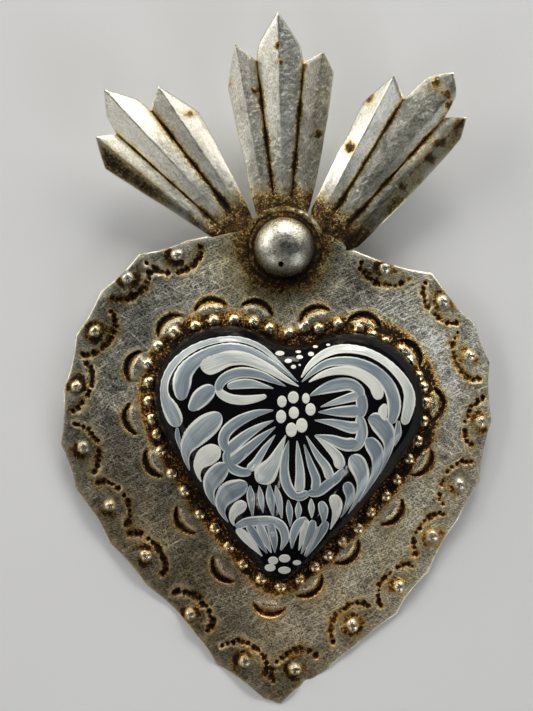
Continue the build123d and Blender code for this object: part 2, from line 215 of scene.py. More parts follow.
# %% Stage
STRAP_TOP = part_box("hanger_strap")[1].z / MM
PLATE_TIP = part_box("heart_plate")[0].z / MM
TIN = 0.4  # thickness of the tin sheet
LEAN = math.atan2(-(PLATE_Y + TIN), STRAP_TOP - PLATE_TIP)
SHEET_HALF = 900.0
SHEET_GAP = 0.15
PAPER = ((0.85, 0.855, 0.86), (0.90, 0.905, 0.915))  # from dim to bright

sheet_mesh = bpy.data.meshes.new("pale_sheet")
corners = []
for x, z in ((-1, -1), (1, -1), (1, 1), (-1, 1)):
    depth = (z * SHEET_HALF - STRAP_TOP) * math.tan(LEAN) + SHEET_GAP
    corners.append(Vector((x * SHEET_HALF, depth, z * SHEET_HALF)) * MM)
sheet_mesh.from_pydata(corners, [], [(0, 1, 2, 3)])
pale_sheet = bpy.data.objects.new("pale_sheet", sheet_mesh)
bpy.context.scene.collection.objects.link(pale_sheet)

paper = finish("pale_paper")
behind = paper.node("ShaderNodeNewGeometry", output="Backfacing")
lamplight = paper.node("ShaderNodeLightPath", output="Is Shadow Ray")
mottle = paper.cloud(paper.place(), 0.012, 2.0)
shade = paper.mix(mottle, *PAPER)
front = paper.node("ShaderNodeBsdfPrincipled", None, {"Base Color": shade, "Roughness": 0.6})
through = paper.node("ShaderNodeBsdfTransparent")
clear = behind + lamplight * (1 - behind)
one_sided = paper.node("ShaderNodeMixShader", None, {0: clear, 1: front, 2: through})
paper.node("ShaderNodeOutputMaterial", None, {"Surface": one_sided})
sheet_mesh.materials.append(paper.owner)
print("the sheet leans by", round(math.degrees(LEAN), 2), "degrees")

# %% Lamps
WHITE = (1.0, 1.0, 1.0)
LAMP_AWAY = 2.0  # m from the middle of the plate
# Direction, power in W, length and width in m, the way the length runs, colour.
LAMPS = {
    "lamp_left": ((-0.80, -0.34, 0.49), 18.5, (1.73, 0.67), (0, 0, 1), (1.0, 0.98, 0.93)),
    "lamp_above": ((0.05, -0.33, 0.94), 14.0, (0.8, 0.4), (1, 0, 0), (1.0, 0.98, 0.94)),
    "lamp_top": ((0.43, -0.35, 0.83), 19.5, (2.07, 0.60), (0.87, -0.08, -0.48), (1.0, 0.97, 0.92)),
    "lamp_lower_right": ((0.68, -0.34, -0.62), 7.8, (0.9, 0.7), (0, 0, 1), (0.93, 0.97, 1.0)),
    "lamp_gleam_high": ((0.13, -0.92, -0.37), 0.45, (0.10, 0.06), (0, 0.37, -0.92), WHITE),
    "lamp_gleam_middle": ((0.10, -0.87, -0.49), 0.45, (0.12, 0.06), (0, 0.49, -0.87), WHITE),
    "lamp_gleam_low": ((0.09, -0.79, -0.61), 0.45, (0.10, 0.05), (0, 0.61, -0.79), WHITE),
    "lamp_lower_left": ((-0.62, -0.46, -0.64), 4.2, (1.2, 0.8), (1, 0, 0), (1.0, 0.98, 0.95)),
    "lamp_behind": ((0.15, 0.97, 0.20), 10.0, (2.6, 2.2), (1, 0, 0), WHITE),
}
aim = Vector((0, PLATE_Y, VIEW_Z)) * MM
for name, (direction, power, size, run, colour) in LAMPS.items():
    lamp = bpy.data.lights.new(name, "AREA")
    lamp.shape = "RECTANGLE"
    lamp.size, lamp.size_y = size
    lamp.energy = power
    lamp.color = colour
    holder = bpy.data.objects.new(name, lamp)
    back = Vector(direction).normalized()
    up = back.cross(Vector(run)).normalized()
    holder.location = aim + back * LAMP_AWAY
    holder.rotation_euler = Matrix((up.cross(back), up, back)).transposed().to_euler()
    bpy.context.scene.collection.objects.link(holder)
print("lamps:", len(LAMPS))

# %% Room
ROOM_GLOW = 0.12
WINDOW_WAY = (-0.62, 0, 0.78)  # the room is brighter this way
CAMERA_WAY = (0, -1, 0)  # and dimmer this way
SEEN_LEVEL = 0.6  # the room as the camera sees it past the sheet
bpy.context.scene.world = bpy.data.worlds.new("room")
room = Finish(bpy.context.scene.world)
look = room.node("ShaderNodeTexCoord", output="Generated")


def facing(direction):
    """How far the room is looked at along a direction, from -1 to 1."""
    return room.node("ShaderNodeVectorMath", {"operation": "DOT_PRODUCT"},
                     {0: look, 1: direction}, "Value")


dim = room.ease(facing(CAMERA_WAY), 0.70, 0.98)
glow = ROOM_GLOW + 0.10 * facing(WINDOW_WAY) - 0.05 * dim
rays = room.node("ShaderNodeLightPath", output="Is Camera Ray")
level = glow + rays * (SEEN_LEVEL - glow)
sky = room.node("ShaderNodeBackground", None, {"Color": (0.98, 0.99, 1.0), "Strength": level})
room.node("ShaderNodeOutputWorld", None, {"Surface": sky})
bpy.context.scene.view_settings.view_transform = "Standard"
print("room seen at", SEEN_LEVEL, "and glowing at", ROOM_GLOW)

# %% [markdown]
# ## Drawing in the flat
# Every sheet starts as a flat drawing, as on the tinsmith's bench. The helpers here sample smooth
# lines, measure how far a point is from a cut edge, and fill an outline with triangles that pass
# through chosen points, so a dent gets rings of points and the plain metal gets few.


# %% Lines and distances
def smooth_line(points, count):
    """A smooth curve through the points, as rows of samples."""
    points = np.asarray(points, float)
    ends = np.vstack([2 * points[0] - points[1], points, 2 * points[-1] - points[-2]])
    t = np.linspace(0, len(points) - 1, count)
    k = np.minimum(t.astype(int), len(points) - 2)
    f = (t - k)[:, None]
    a, b, c, d = (ends[k + i] for i in range(4))
    bend = 2 * a - 5 * b + 4 * c - d
    twist = 3 * b - a - 3 * c + d
    return 0.5 * (2 * b + (c - a) * f + bend * f**2 + twist * f**3)


def even_steps(line, count):
    """Points at equal distances along a polyline, both ends included."""
    run = np.hypot(*np.diff(line, axis=0).T)
    along = np.concatenate([[0], np.cumsum(run)])
    places = np.linspace(0, along[-1], count)
    return np.stack([np.interp(places, along, line[:, i]) for i in range(line.shape[1])], -1)


def circle_points(centre, radius, start, end, count):
    turn = np.linspace(start, end, count)
    return np.asarray(centre) + radius * np.stack([np.cos(turn), np.sin(turn)], -1)


def inside_by(flat, loop):
    """How far inside a closed loop each point lies, in mm, negative outside."""
    best = np.full(len(flat), np.inf)
    odd = np.zeros(len(flat), bool)
    for start, step in zip(loop, np.roll(loop, -1, 0) - loop):
        off = flat - start
        share = np.clip(off @ step / (step @ step), 0, 1)
        gap = off - share[:, None] * step
        best = np.minimum(best, np.hypot(gap[:, 0], gap[:, 1]))
        spans = (off[:, 1] < 0) != (off[:, 1] < step[1])
        odd ^= spans & (off[:, 0] < step[0] * off[:, 1] / (step[1] or 1e-9))
    return np.where(odd, best, -best)


def nearest_gap(flat, places, sizes=None):
    """Distance from each point to the nearest of the places, in units of each place's size."""
    best = np.full(len(flat), np.inf)
    for i, place in enumerate(places):
        size = 1.0 if sizes is None else sizes[i]
        best = np.minimum(best, np.hypot(*(flat - place).T) / size)
    return best


def normal_at(loop, place):
    """Outward direction of an anticlockwise loop near a place."""
    i = np.argmin(np.hypot(*(loop - place).T))
    run = loop[(i + 1) % len(loop)] - loop[i - 1]
    return np.array([run[1], -run[0]]) / np.hypot(*run)


print("lines and distances ready")


# %% Points and triangles
def rings(place, radii, spokes):
    """A centre and rings of points about it."""
    points = [np.asarray(place)[None]]
    for i, radius in enumerate(radii):
        points.append(circle_points(place, radius, 0.2 * i, 0.2 * i + math.tau, spokes + 1)[:-1])
    return np.vstack(points)


def shrunk(loop, gap):
    """The loop moved inward, for an anticlockwise one."""
    run = np.roll(loop, -1, 0) - np.roll(loop, 1, 0)
    out = np.stack([run[:, 1], -run[:, 0]], -1) / np.hypot(*run.T)[:, None]
    return loop - gap * out


def grid(loop, spacing):
    """A triangular grid of points that covers a loop."""
    low = loop.min(0)
    high = loop.max(0)
    rows = np.arange(low[1], high[1], spacing * 0.866)
    points = []
    for i, z in enumerate(rows):
        x = np.arange(low[0] + (i % 2) * spacing / 2, high[0], spacing)
        points.append(np.stack([x, np.full_like(x, z)], -1))
    return np.vstack(points)


def thin_out(groups):
    """Points of all groups, each (points, gap), without those too close to an earlier one."""
    cell = max(gap for _, gap in groups)
    kept = {}
    rows = []
    for points, gap in groups:
        for x, z in points.tolist():
            i, k = int(x // cell), int(z // cell)
            cells = ((a, b) for a in (i - 1, i, i + 1) for b in (k - 1, k, k + 1))
            near = (q for c in cells for q in kept.get(c, ()))
            if all((x - qx) ** 2 + (z - qz) ** 2 >= gap * gap for qx, qz in near):
                kept.setdefault((i, k), []).append((x, z))
                rows.append((x, z))
    return np.array(rows)


def fill(loop, inner):
    """Points and anticlockwise triangles inside a loop, with every inner point in use."""
    corners = [Vector(p) for p in np.vstack([loop, inner])]
    flat, _, faces, *_ = delaunay_2d_cdt(corners, [], [list(range(len(loop)))], 1, 1e-6)
    flat = np.array([p[:] for p in flat])
    faces = np.array([f[:] for f in faces if len(f) == 3])
    a, b, c = (flat[faces[:, i]] for i in range(3))
    area = (b - a)[:, 0] * (c - a)[:, 1] - (b - a)[:, 1] * (c - a)[:, 0]
    faces[area < 0] = faces[area < 0][:, ::-1]
    used = np.unique(faces)
    renumber = np.full(len(flat), -1)
    renumber[used] = np.arange(len(used))
    return flat[used], renumber[faces]


LOOP_GAP = 0.05  # mm, less than the steps of any loop


def fill_sheet(loop, groups, margin):
    """A loop filled from groups of points, of which those too near its edge are left out."""
    inner = thin_out([(loop, LOOP_GAP), *groups])[len(loop):]
    return fill(loop, inner[inside_by(inner, loop) > margin])


print("points and triangles ready")

# %% [markdown]
# ## From drawing to sheet
# A tin sheet could be a plane with a Solidify modifier, but then the cut edge has no marks of its
# own. Here the front, the back and the cut edge are made together, each point carrying marks such
# as grime and polish for the finish to read.


# %% Sheets and pieces
def piece(name, points, faces, marks, material, body="root", crisp=50):
    """A mesh piece in mm that rides on a body."""
    mesh = bpy.data.meshes.new(name)
    mesh.from_pydata((np.asarray(points) * MM).tolist(), [], [list(map(int, f)) for f in faces])
    for key, values in marks.items():
        layer = mesh.attributes.new(key, "FLOAT", "POINT")
        layer.data.foreach_set("value", np.asarray(values, np.float32))
    mesh.shade_smooth()
    mesh.set_sharp_from_angle(angle=math.radians(crisp))
    mesh.materials.append(material)
    made = bpy.data.objects.new(name, mesh)
    bpy.context.scene.collection.objects.link(made)
    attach(made, body)
    print(name, "points", len(mesh.vertices), "faces", len(mesh.polygons))
    return made


# Shares of the front's marks that the back carries.
BEHIND = {"grime": 0.15, "crease": 0.1, "polish": 0.3, "age": 0.6, "film": 0.3}


def cut_sheet(name, flat, faces, front, back, marks, material):
    """A sheet whose front and back stand at these heights over the plate's face."""
    count = len(flat)
    points = np.vstack([
        np.stack([flat[:, 0], PLATE_Y - front, flat[:, 1]], -1),
        np.stack([flat[:, 0], PLATE_Y - back, flat[:, 1]], -1),
    ])
    edges = np.vstack([faces[:, [0, 1]], faces[:, [1, 2]], faces[:, [2, 0]]])
    known = {tuple(e) for e in edges.tolist()}
    rim = [(a, b) for a, b in edges.tolist() if (b, a) not in known]
    sides = [(b, a, a + count, b + count) for a, b in rim]
    turned = (faces[:, ::-1] + count).tolist()
    doubled = {key: np.concatenate([m, m * BEHIND.get(key, 1.0)]) for key, m in marks.items()}
    return piece(name, points, faces.tolist() + turned + sides, doubled, material)


def sway(flat, size, height, seed):
    """Slow hand-made unevenness, as heights in mm."""
    return np.array([noise.noise((x / size, z / size, seed)) for x, z in flat]) * height


def bell(gap, width):
    """1 where there is no gap, falling off over a width."""
    return np.exp(-((gap / width) ** 2))


def ramp(value, low, high):
    """A smooth step from 0 at low to 1 at high."""
    t = np.clip((value - low) / (high - low), 0, 1)
    return t * t * (3 - 2 * t)


def most(*layers):
    """The strongest of some layers of marks, point by point."""
    return np.maximum.reduce(layers)


print("sheet makers ready")

# %% [markdown]
# ## Aged tin
# New tinplate is silver. This piece was darkened with a brown wash and rubbed back, so the wash
# stays in the dents and thins to gold at their rims, and the open metal is all short scratches with
# a few long ones. One flat metal would look new. The finish reads five marks. One picks the metal
# from bright to dark grey, for age and also as painted shade. One lays on the wash, which also
# serves as painted shade. One rubs the wash off and also paints highlights. One is wash that the
# rubbing didn't reach, with painted shade in grooves and valleys, and film is a warm tint. Noise
# breaks them up. The plumes' wash is drabber.

# %% Tin finish
METAL = [
    (0.0, (0.88, 0.86, 0.75)),
    (0.5, (0.41, 0.40, 0.34)),
    (1.0, (0.145, 0.145, 0.125)),
]
# The colour of rubbed metal, also used for painted highlights.
RUBBED_AND_HIGHLIT = (0.86, 0.80, 0.65)
UNDER_WASH = (0.80, 0.74, 0.58)
FILM = (1.0, 0.87, 0.74)
# Wash colours from thin to thick; the dark end also serves as painted shade.
WASH_AND_SHADE = [
    (0.00, WHITE),
    (0.25, (0.97, 0.88, 0.62)),
    (0.45, (0.90, 0.60, 0.20)),
    (0.65, (0.36, 0.16, 0.035)),
    (0.82, (0.06, 0.028, 0.012)),
    (1.00, (0.014, 0.010, 0.008)),
]
# The plumes' drabber wash, whose dark end also serves as painted shade.
DRAB_WASH_AND_SHADE = [
    (0.00, WHITE),
    (0.25, (0.94, 0.88, 0.70)),
    (0.45, (0.79, 0.59, 0.28)),
    (0.65, (0.32, 0.18, 0.07)),
    (0.82, (0.07, 0.045, 0.025)),
    (1.00, (0.014, 0.011, 0.009)),
]
RUB_TURNS = (0.5, 1.3, 2.2, -0.35)  # radians, the ways of the short scratches
SCRATCH_TURNS = (0.75, -0.5)  # the ways of the long ones
GRAIN_TURN = -0.2
DARKEST_GRAIN = 0.15


def scratches(tin):
    """Where the metal is scratched: many short hairs and a few long lines."""
    hairs = 0
    for way in RUB_TURNS:
        rub = tin.cloud(tin.place((6.0, 1.0, 0.13), way), 1.0, 1.0)
        hairs = hairs + tin.ease(rub, 0.56, 0.74)
    for way in SCRATCH_TURNS:
        scratch = tin.cloud(tin.place((26.0, 1.0, 0.2), way), 1.0, 1.0)
        hairs = hairs + 1.2 * tin.ease(scratch, 0.68, 0.76)
    return hairs


def aged_tin(name, rough, grain_depth, contrast, turn=GRAIN_TURN, wash_and_shade_stops=WASH_AND_SHADE):
    """Tinplate of this roughness, with the depth, contrast and turn of its grain, and its wash, which also
    paints shade.
    """
    tin = finish(name)
    here = tin.place()
    grime = tin.mark("grime")
    crease = tin.mark("crease")
    polish = tin.mark("polish")
    patch = tin.cloud(here, 0.06, 3.0, 0.55)
    blotch = tin.cloud(here, 0.5, 3.0, 0.6)
    fleck = 0.65 * tin.cloud(tin.place((2.4, 1.0, 0.5), turn), 2.9, 2.0, 0.7)
    fleck = fleck + 0.35 * tin.cloud(tin.place((1.8, 1.0, 0.6), turn + 1.1), 2.9, 2.0, 0.7)
    speck = tin.cloud(here, 1.4, 3.0, 0.7)
    hairs = scratches(tin)
    stain = tin.ease(blotch + 0.5 * (patch - 0.5), 0.60, 0.78) * tin.ease(fleck, 0.42, 0.60)
    # The wash laid on, with the painted shade that the marks carry, less what is rubbed off.
    dirt_and_shade = grime * (1 + 1.6 * (blotch - 0.5) + 3.2 * (speck - 0.5) + 1.4 * (fleck - 0.5)) + 0.35 * stain
    dirt_and_shade = dirt_and_shade * (1 - 0.85 * polish) + crease * (1 + 0.8 * (blotch - 0.5) + 2.4 * (fleck - 0.5))
    age = tin.mark("age") + 1.4 * (patch - 0.5)
    metal = tin.node("ShaderNodeValToRGB", {"stops": METAL}, {"Fac": age})
    film = tin.mark("film")
    grain = 1 + contrast * (1 - 0.15 * film) * (5.6 * (fleck - 0.5) + 0.65 * hairs - 0.2)
    grain = tin.node("ShaderNodeMath", {"operation": "MAXIMUM"}, {0: grain, 1: DARKEST_GRAIN})
    gold = 0.45 * tin.ease(dirt_and_shade, 0.15, 0.42) * tin.ease(age, 1.0, 0.5)
    metal = tin.mix(gold, tin.tint(metal, grain), UNDER_WASH)
    # Rubbed metal, which is also the colour of the painted highlights.
    metal = tin.mix(0.8 * polish, metal, RUBBED_AND_HIGHLIT)
    wash = tin.node("ShaderNodeValToRGB", {"stops": wash_and_shade_stops}, {"Fac": dirt_and_shade})
    colour = tin.times(tin.times(metal, tin.mix(film, WHITE, FILM)), wash)
    tooth = tin.ease(dirt_and_shade, 0.5, 1.0)
    roughness = rough + 0.22 * (fleck - 0.5) - 0.10 * tin.ease(dirt_and_shade, 0.2, 0.5) - 0.14 * polish
    height = (grain_depth * (fleck + 0.4 * hairs) + 0.25 * grime * fleck) * (1 - 0.85 * polish)
    return tin.surface({
        "Base Color": colour,
        "Metallic": 1 - 0.25 * tooth,
        "Roughness": roughness,
        "Normal": tin.bump(height),
    })


plate_tin = aged_tin("plate_tin", 0.36, 0.12, 1.9)
dome_tin = aged_tin("dome_tin", 0.28, 0.04, 0.7)
strap_tin = aged_tin("strap_tin", 0.38, 0.05, 0.5)
print("tin finishes made")

# %% [markdown]
# ## The painted heart's outline
# Beads, crescents and grime all follow the painted heart, so its outline comes first. Each half runs
# through four arcs at tangents, round the tip, up the flank, over the lobe and into the cleft. It is
# drawn upright from the point where the flanks would meet, and then leaned.

# %% Heart outline
DOME_Z = (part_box("dome_boss")[0].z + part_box("dome_boss")[1].z) / 2 / MM
HEART_TIP = np.array([-1.8, DOME_Z - 101.3])
HEART_LEAN = math.radians(3.4)  # clockwise
LOBE = np.array([18.7, 55.6])
LOBE_R = 21.5
FLANK_R = 205.0
CLEFT_R = 15.0
TIP_R = 6.0
LEAN_COS = math.cos(HEART_LEAN)
LEAN_SIN = math.sin(HEART_LEAN)


def lean(points):
    """Upright heart drawing to its place on the plate."""
    x, z = points[..., 0], points[..., 1]
    return np.stack([LEAN_COS * x + LEAN_SIN * z, LEAN_COS * z - LEAN_SIN * x], -1) + HEART_TIP


def unlean(points):
    off = np.asarray(points, float) - HEART_TIP
    x, z = off[..., 0], off[..., 1]
    return np.stack([LEAN_COS * x - LEAN_SIN * z, LEAN_COS * z + LEAN_SIN * x], -1)


def bearing(step):
    return math.atan2(step[1], step[0])


def heart_line(grow, count):
    """The heart's outline, grown by some mm, anticlockwise from its tip."""
    span = np.hypot(*LOBE)
    up = LOBE / span
    along = (FLANK_R**2 - (FLANK_R - LOBE_R) ** 2 + span**2) / (2 * span)
    flank = up * along + np.array([-up[1], up[0]]) * math.sqrt(FLANK_R**2 - along**2)
    cleft = np.array([0.0, LOBE[1] + math.sqrt((LOBE_R + CLEFT_R) ** 2 - LOBE[0] ** 2)])
    tip = np.array([0.0, flank[1] - math.sqrt((FLANK_R - TIP_R) ** 2 - flank[0] ** 2)])
    down = -math.pi / 2
    right = np.vstack([
        circle_points(tip, TIP_R + grow, down, bearing(tip - flank), 40),
        circle_points(flank, FLANK_R + grow, bearing(tip - flank), bearing(LOBE - flank), 160)[1:],
        circle_points(LOBE, LOBE_R + grow, bearing(LOBE - flank), bearing(cleft - LOBE), 200)[1:],
        circle_points(cleft, CLEFT_R - grow, bearing(LOBE - cleft), down, 60)[1:],
    ])
    left = right[::-1] * (-1, 1)
    whole = np.vstack([right, left[1:]])
    return lean(even_steps(whole, count + 1)[:-1])


heart_loop = heart_line(0.0, 360)
print("heart outline from", heart_loop.min(0).round(1), "to", heart_loop.max(0).round(1))

# %% [markdown]
# ## The beaten plate
# The plate is one sheet. Its edge was snipped in shallow waves, bosses and beads were beaten up
# from behind, and crescents and rows of dots were punched from the front. The places come from
# the photograph because each blow fell where the hand put it. A texture could press the dents into
# a plain sheet, but a height worked out for each point keeps the front and the back in step.

# %% Plate outline
LEFT_CORNERS = [(187, 240), (139, 254), (101, 291), (75.5, 335), (63, 389), (60.4, 444), (75, 489),
                (110, 545), (146, 586), (200, 640), (216, 665), (264, 699), (276, 703)]
RIGHT_CORNERS = [(352, 249), (432.6, 273), (475.6, 324), (490, 362), (492, 421), (480, 482), (458, 520),
                 (429, 573), (409.5, 593), (397, 615), (361, 643), (322, 675.5), (305.6, 684.5), (281, 704)]
WAVE_SAG = 0.045  # of each wave's length
TONGUE_R = 12.6
TONGUE_FLARE = math.radians(25)


def waved(corners, inward):
    """A cut edge through the corners that dips in between them."""
    line = []
    t = np.linspace(0, 1, 13)[:-1, None]
    for a, b in zip(corners[:-1], corners[1:]):
        side = np.array([-(b - a)[1], (b - a)[0]]) * inward * WAVE_SAG
        line.append(a + (b - a) * t + side * 4 * t * (1 - t))
    return np.vstack([*line, corners[-1:]])


left_edge = waved(seen(LEFT_CORNERS), 1)
right_edge = waved(seen(RIGHT_CORNERS), -1)
tongue = circle_points((0, DOME_Z), TONGUE_R, TONGUE_FLARE, math.pi - TONGUE_FLARE, 40)
plate_path = np.vstack([right_edge[::-1], tongue, left_edge])
plate_loop = even_steps(np.vstack([plate_path, plate_path[:1]]), 620)[:-1]
print("plate outline from", plate_loop.min(0).round(1), "to", plate_loop.max(0).round(1))

# %% Where the blows fell
BOSS_PIXELS = [(177, 255), (128, 278.5), (95, 331.5), (76, 386), (82.5, 447.5), (110, 505), (146, 555),
               (190, 614), (244, 661), (385, 268.5), (442.5, 301.5), (470, 356), (481, 421.5), (459, 484),
               (432.5, 536.5), (398.5, 586.5), (352.5, 625), (295, 669)]
BEAD_PIXELS = [(158, 346), (175, 333), (196, 326), (214, 321), (234, 320), (254, 322), (270, 328),
               (289, 333), (304, 328), (319, 329), (338, 324), (358, 331), (372, 335), (385, 342),
               (397, 352), (409, 363), (418, 376), (423, 387), (425, 403), (423, 421), (418, 441),
               (409, 459), (397, 479), (386, 496), (371, 512), (358, 528), (342, 541), (328, 555),
               (315, 567), (300, 579), (281, 587), (261, 579), (243, 564), (229, 546), (215, 528),
               (200, 514), (185, 491), (172, 474), (161, 451), (157, 434), (152, 419), (149, 401),
               (149, 382), (147, 364)]
CRESCENT_PIXELS = [(210, 303.5), (259, 306), (312.5, 312.5), (365, 318.5), (412.5, 350), (439, 404),
                   (425, 465), (395, 515), (350, 555), (312.5, 589), (268.5, 610), (220, 572.5),
                   (182.5, 522.5), (151, 465), (129, 420), (131, 365), (167.5, 322.5)]
BOSS_R = 2.2
BOSS_HEIGHT = 1.6
BEAD_R = 2.05
BEAD_HEIGHT = 1.6
DOT_PIT = 0.6
DOT_R = 0.7
DOT_LIP = 0.32
CHAIN_HALF = 7.6  # along the edge, from the boss
CHAIN_DEEP = 4.8  # inward from the boss
CHAIN_DOTS = 13
CHAIN_SPAN = (0.04, 0.96)  # of a half turn
CHAIN_UNEVEN = (0.85, 1.15)
DOT_WANDER = 0.18
DOT_FROM_EDGE = 1.3
DOT_APART = 1.15
DOT_SIZES = (0.75, 1.4)
CRESCENT_HALF = 5.0
CRESCENT_SAG = 2.9
CRESCENT_SHIFT = CRESCENT_SAG * 0.3 + 0.3  # outward from the place that was read
CRESCENT_WIDE = 1.2
CRESCENT_PIT = 0.7
CRESCENT_LIP = 1.0
CRESCENT_OUTER_LIP = 0.26
CRESCENT_LEVELS = (-3.4, -2.8, -2.3, -1.8, -1.4, -1.0, -0.5, 0.0, 0.5, 1.0, 1.5)  # mesh, across it
CURL_R = 11.7  # the tongue's edge curls up here, to the upper right of the half-ball
CURL_HEIGHT = 0.9
CURL_START = (0.30, 0.50)  # radians
CURL_END = (1.25, 1.50)
HEART_WALL = 4.0  # how steeply beads are cut off at the wooden heart's side
EDGE_ROUND = 0.25  # the cut edge falls away by this much
CORNER_DROP = 0.5  # and its corners by this much more

rng = np.random.default_rng(7)
bosses = seen(BOSS_PIXELS)
beads = seen(BEAD_PIXELS)
crescents = seen(CRESCENT_PIXELS)
crescent_out = np.array([normal_at(heart_loop, c) for c in crescents])
dots = []
for boss in bosses:
    out = normal_at(plate_loop, boss)
    tangent = np.array([-out[1], out[0]])
    turn = np.linspace(*CHAIN_SPAN, 60) * math.pi
    deep = CHAIN_DEEP * rng.uniform(*CHAIN_UNEVEN)
    arc = boss + np.outer(CHAIN_HALF * np.cos(turn), tangent) - np.outer(deep * np.sin(turn), out)
    dots.append(even_steps(arc, CHAIN_DOTS))
dots = np.vstack(dots)
dots += rng.normal(0, DOT_WANDER, dots.shape)
dots = dots[inside_by(dots, plate_loop) > DOT_FROM_EDGE]
dots = thin_out([(dots, DOT_APART)])
dot_sizes = rng.uniform(*DOT_SIZES, len(dots))
print("bosses", len(bosses), "beads", len(beads), "crescents", len(crescents), "dots", len(dots))


# %% Crescents
def crescent_arc(centre, out):
    """Radius and hub of one crescent's middle line."""
    arc_r = (CRESCENT_HALF**2 + CRESCENT_SAG**2) / (2 * CRESCENT_SAG)
    return arc_r, centre + out * (CRESCENT_SHIFT - arc_r)


def crescent_place(flat, centre, out):
    """Distance across and turn along one crescent's middle line."""
    arc_r, hub = crescent_arc(centre, out)
    off = flat - hub
    across = np.hypot(*off.T) - arc_r
    tangent = np.array([-out[1], out[0]])
    turn = np.arctan2(off @ tangent, off @ out) / math.asin(CRESCENT_HALF / arc_r)
    return across, turn


def crescent_width(turn):
    return CRESCENT_WIDE * np.clip(1 - turn**2, 0, 1) ** 0.6


def crescent_points(centre, out):
    """Mesh points along and across one crescent."""
    arc_r, hub = crescent_arc(centre, out)
    tangent = np.array([-out[1], out[0]])
    points = []
    for share in np.linspace(-1.05, 1.05, 23):
        wide = max(crescent_width(np.array(share)), 0.25)
        angle = share * math.asin(CRESCENT_HALF / arc_r)
        ray = math.cos(angle) * out + math.sin(angle) * tangent
        for level in CRESCENT_LEVELS:
            points.append(hub + ray * (arc_r + level * wide))
    return np.array(points)


def crescent_parts(flat):
    """For each crescent, the points near it and their shares of its parts."""
    for centre, out in zip(crescents, crescent_out):
        near = np.hypot(*(flat - centre).T) < 3 * CRESCENT_HALF
        across, turn = crescent_place(flat[near], centre, out)
        wide = crescent_width(turn)
        beside = np.abs(across)
        along = np.abs(turn)
        yield near, SimpleNamespace(
            groove=ramp(1.15 - beside / np.maximum(wide, 0.2), 0, 1) * (along < 1.02),
            inner=bell(across + wide + 1.5, 1.4) * ramp(1.1 - along, 0, 0.3),
            outer=bell(across - wide - 0.1, 0.35) * ramp(1.1 - along, 0, 0.2),
            halo=bell(np.clip(beside - wide, 0, None), 0.8) * ramp(1.2 - along, 0, 0.3),
            floor=ramp(across + wide, 0.1, 1.1),
        )


print("crescent helpers ready")


# %% Heights of the plate
def knob(gap, radius, height):
    """A rounded knob that runs out softly into the sheet."""
    return height * np.clip(1 - (gap / radius) ** 2, 0, 1) ** 0.9


def plate_gaps(flat):
    """How far each point is from what was cut, beaten or fixed there, and its share of the curl."""
    uneven = sway(flat, 2.4, 0.45, 6.0)
    dome = np.hypot(*(flat - (0, DOME_Z)).T)
    turn = np.arctan2(flat[:, 1] - DOME_Z, flat[:, 0])
    return SimpleNamespace(
        boss=np.clip(nearest_gap(flat, bosses) + uneven, 0, None),
        bead=np.clip(nearest_gap(flat, beads) + 0.5 * uneven, 0, None),
        dot=nearest_gap(flat, dots, dot_sizes) + sway(flat, 0.9, 0.45, 2.7),
        edge=inside_by(flat, plate_loop),
        corner=nearest_gap(flat, seen(LEFT_CORNERS + RIGHT_CORNERS)),
        heart=-inside_by(flat, heart_loop),
        dome=dome,
        curl=bell(dome - CURL_R, 0.55) * ramp(turn, *CURL_START) * (1 - ramp(turn, *CURL_END)),
    )


def plate_rise(flat, gap):
    """Height of the plate's face over the flat sheet."""
    rise = sway(flat, 26, 0.6, 3.1) + sway(flat, 10, 0.30, 8.4)
    rise += sway(flat, 11, 1.3, 5.7) * bell(gap.edge, 6)
    rise *= ramp(gap.dome, 12, 26) * ramp(gap.heart, 1, 6)
    rise -= EDGE_ROUND * (1 - ramp(gap.edge, 0, 1.5 * EDGE_ROUND))
    rise -= CORNER_DROP * bell(gap.corner, 2.5)
    rise += knob(gap.boss, BOSS_R, BOSS_HEIGHT) + knob(gap.bead, BEAD_R, BEAD_HEIGHT)
    rise += CURL_HEIGHT * gap.curl
    rise += DOT_LIP * bell(gap.dot - 1.4, 0.4) - DOT_PIT * bell(gap.dot, DOT_R)
    for near, part in crescent_parts(flat):
        lips = CRESCENT_LIP * part.inner + CRESCENT_OUTER_LIP * part.outer
        rise[near] += lips - CRESCENT_PIT * part.groove
    return np.minimum(rise, HEART_WALL * np.clip(gap.heart + 0.1, 0, None))


print("plate heights ready")


# %% Marks of the plate
def sheet_tone(flat):
    """Metal tone: darker to the left and most of all low down, lighter to the right and top, darker at the
    upper right.
    """
    left = ramp(VIEW_X - flat[:, 0], -10, 30) * ramp(VIEW_Z - flat[:, 1], 0, 50)
    top = ramp(flat[:, 1] - VIEW_Z, 15, 60)
    shoulder = ramp(flat[:, 1] - VIEW_Z, 0, 28) * ramp(flat[:, 0] - VIEW_X, 0, 30)
    return 0.70 - 0.36 * (flat[:, 0] - VIEW_X) / 60 + 0.15 * left - 0.2 * top + 0.2 * shoulder


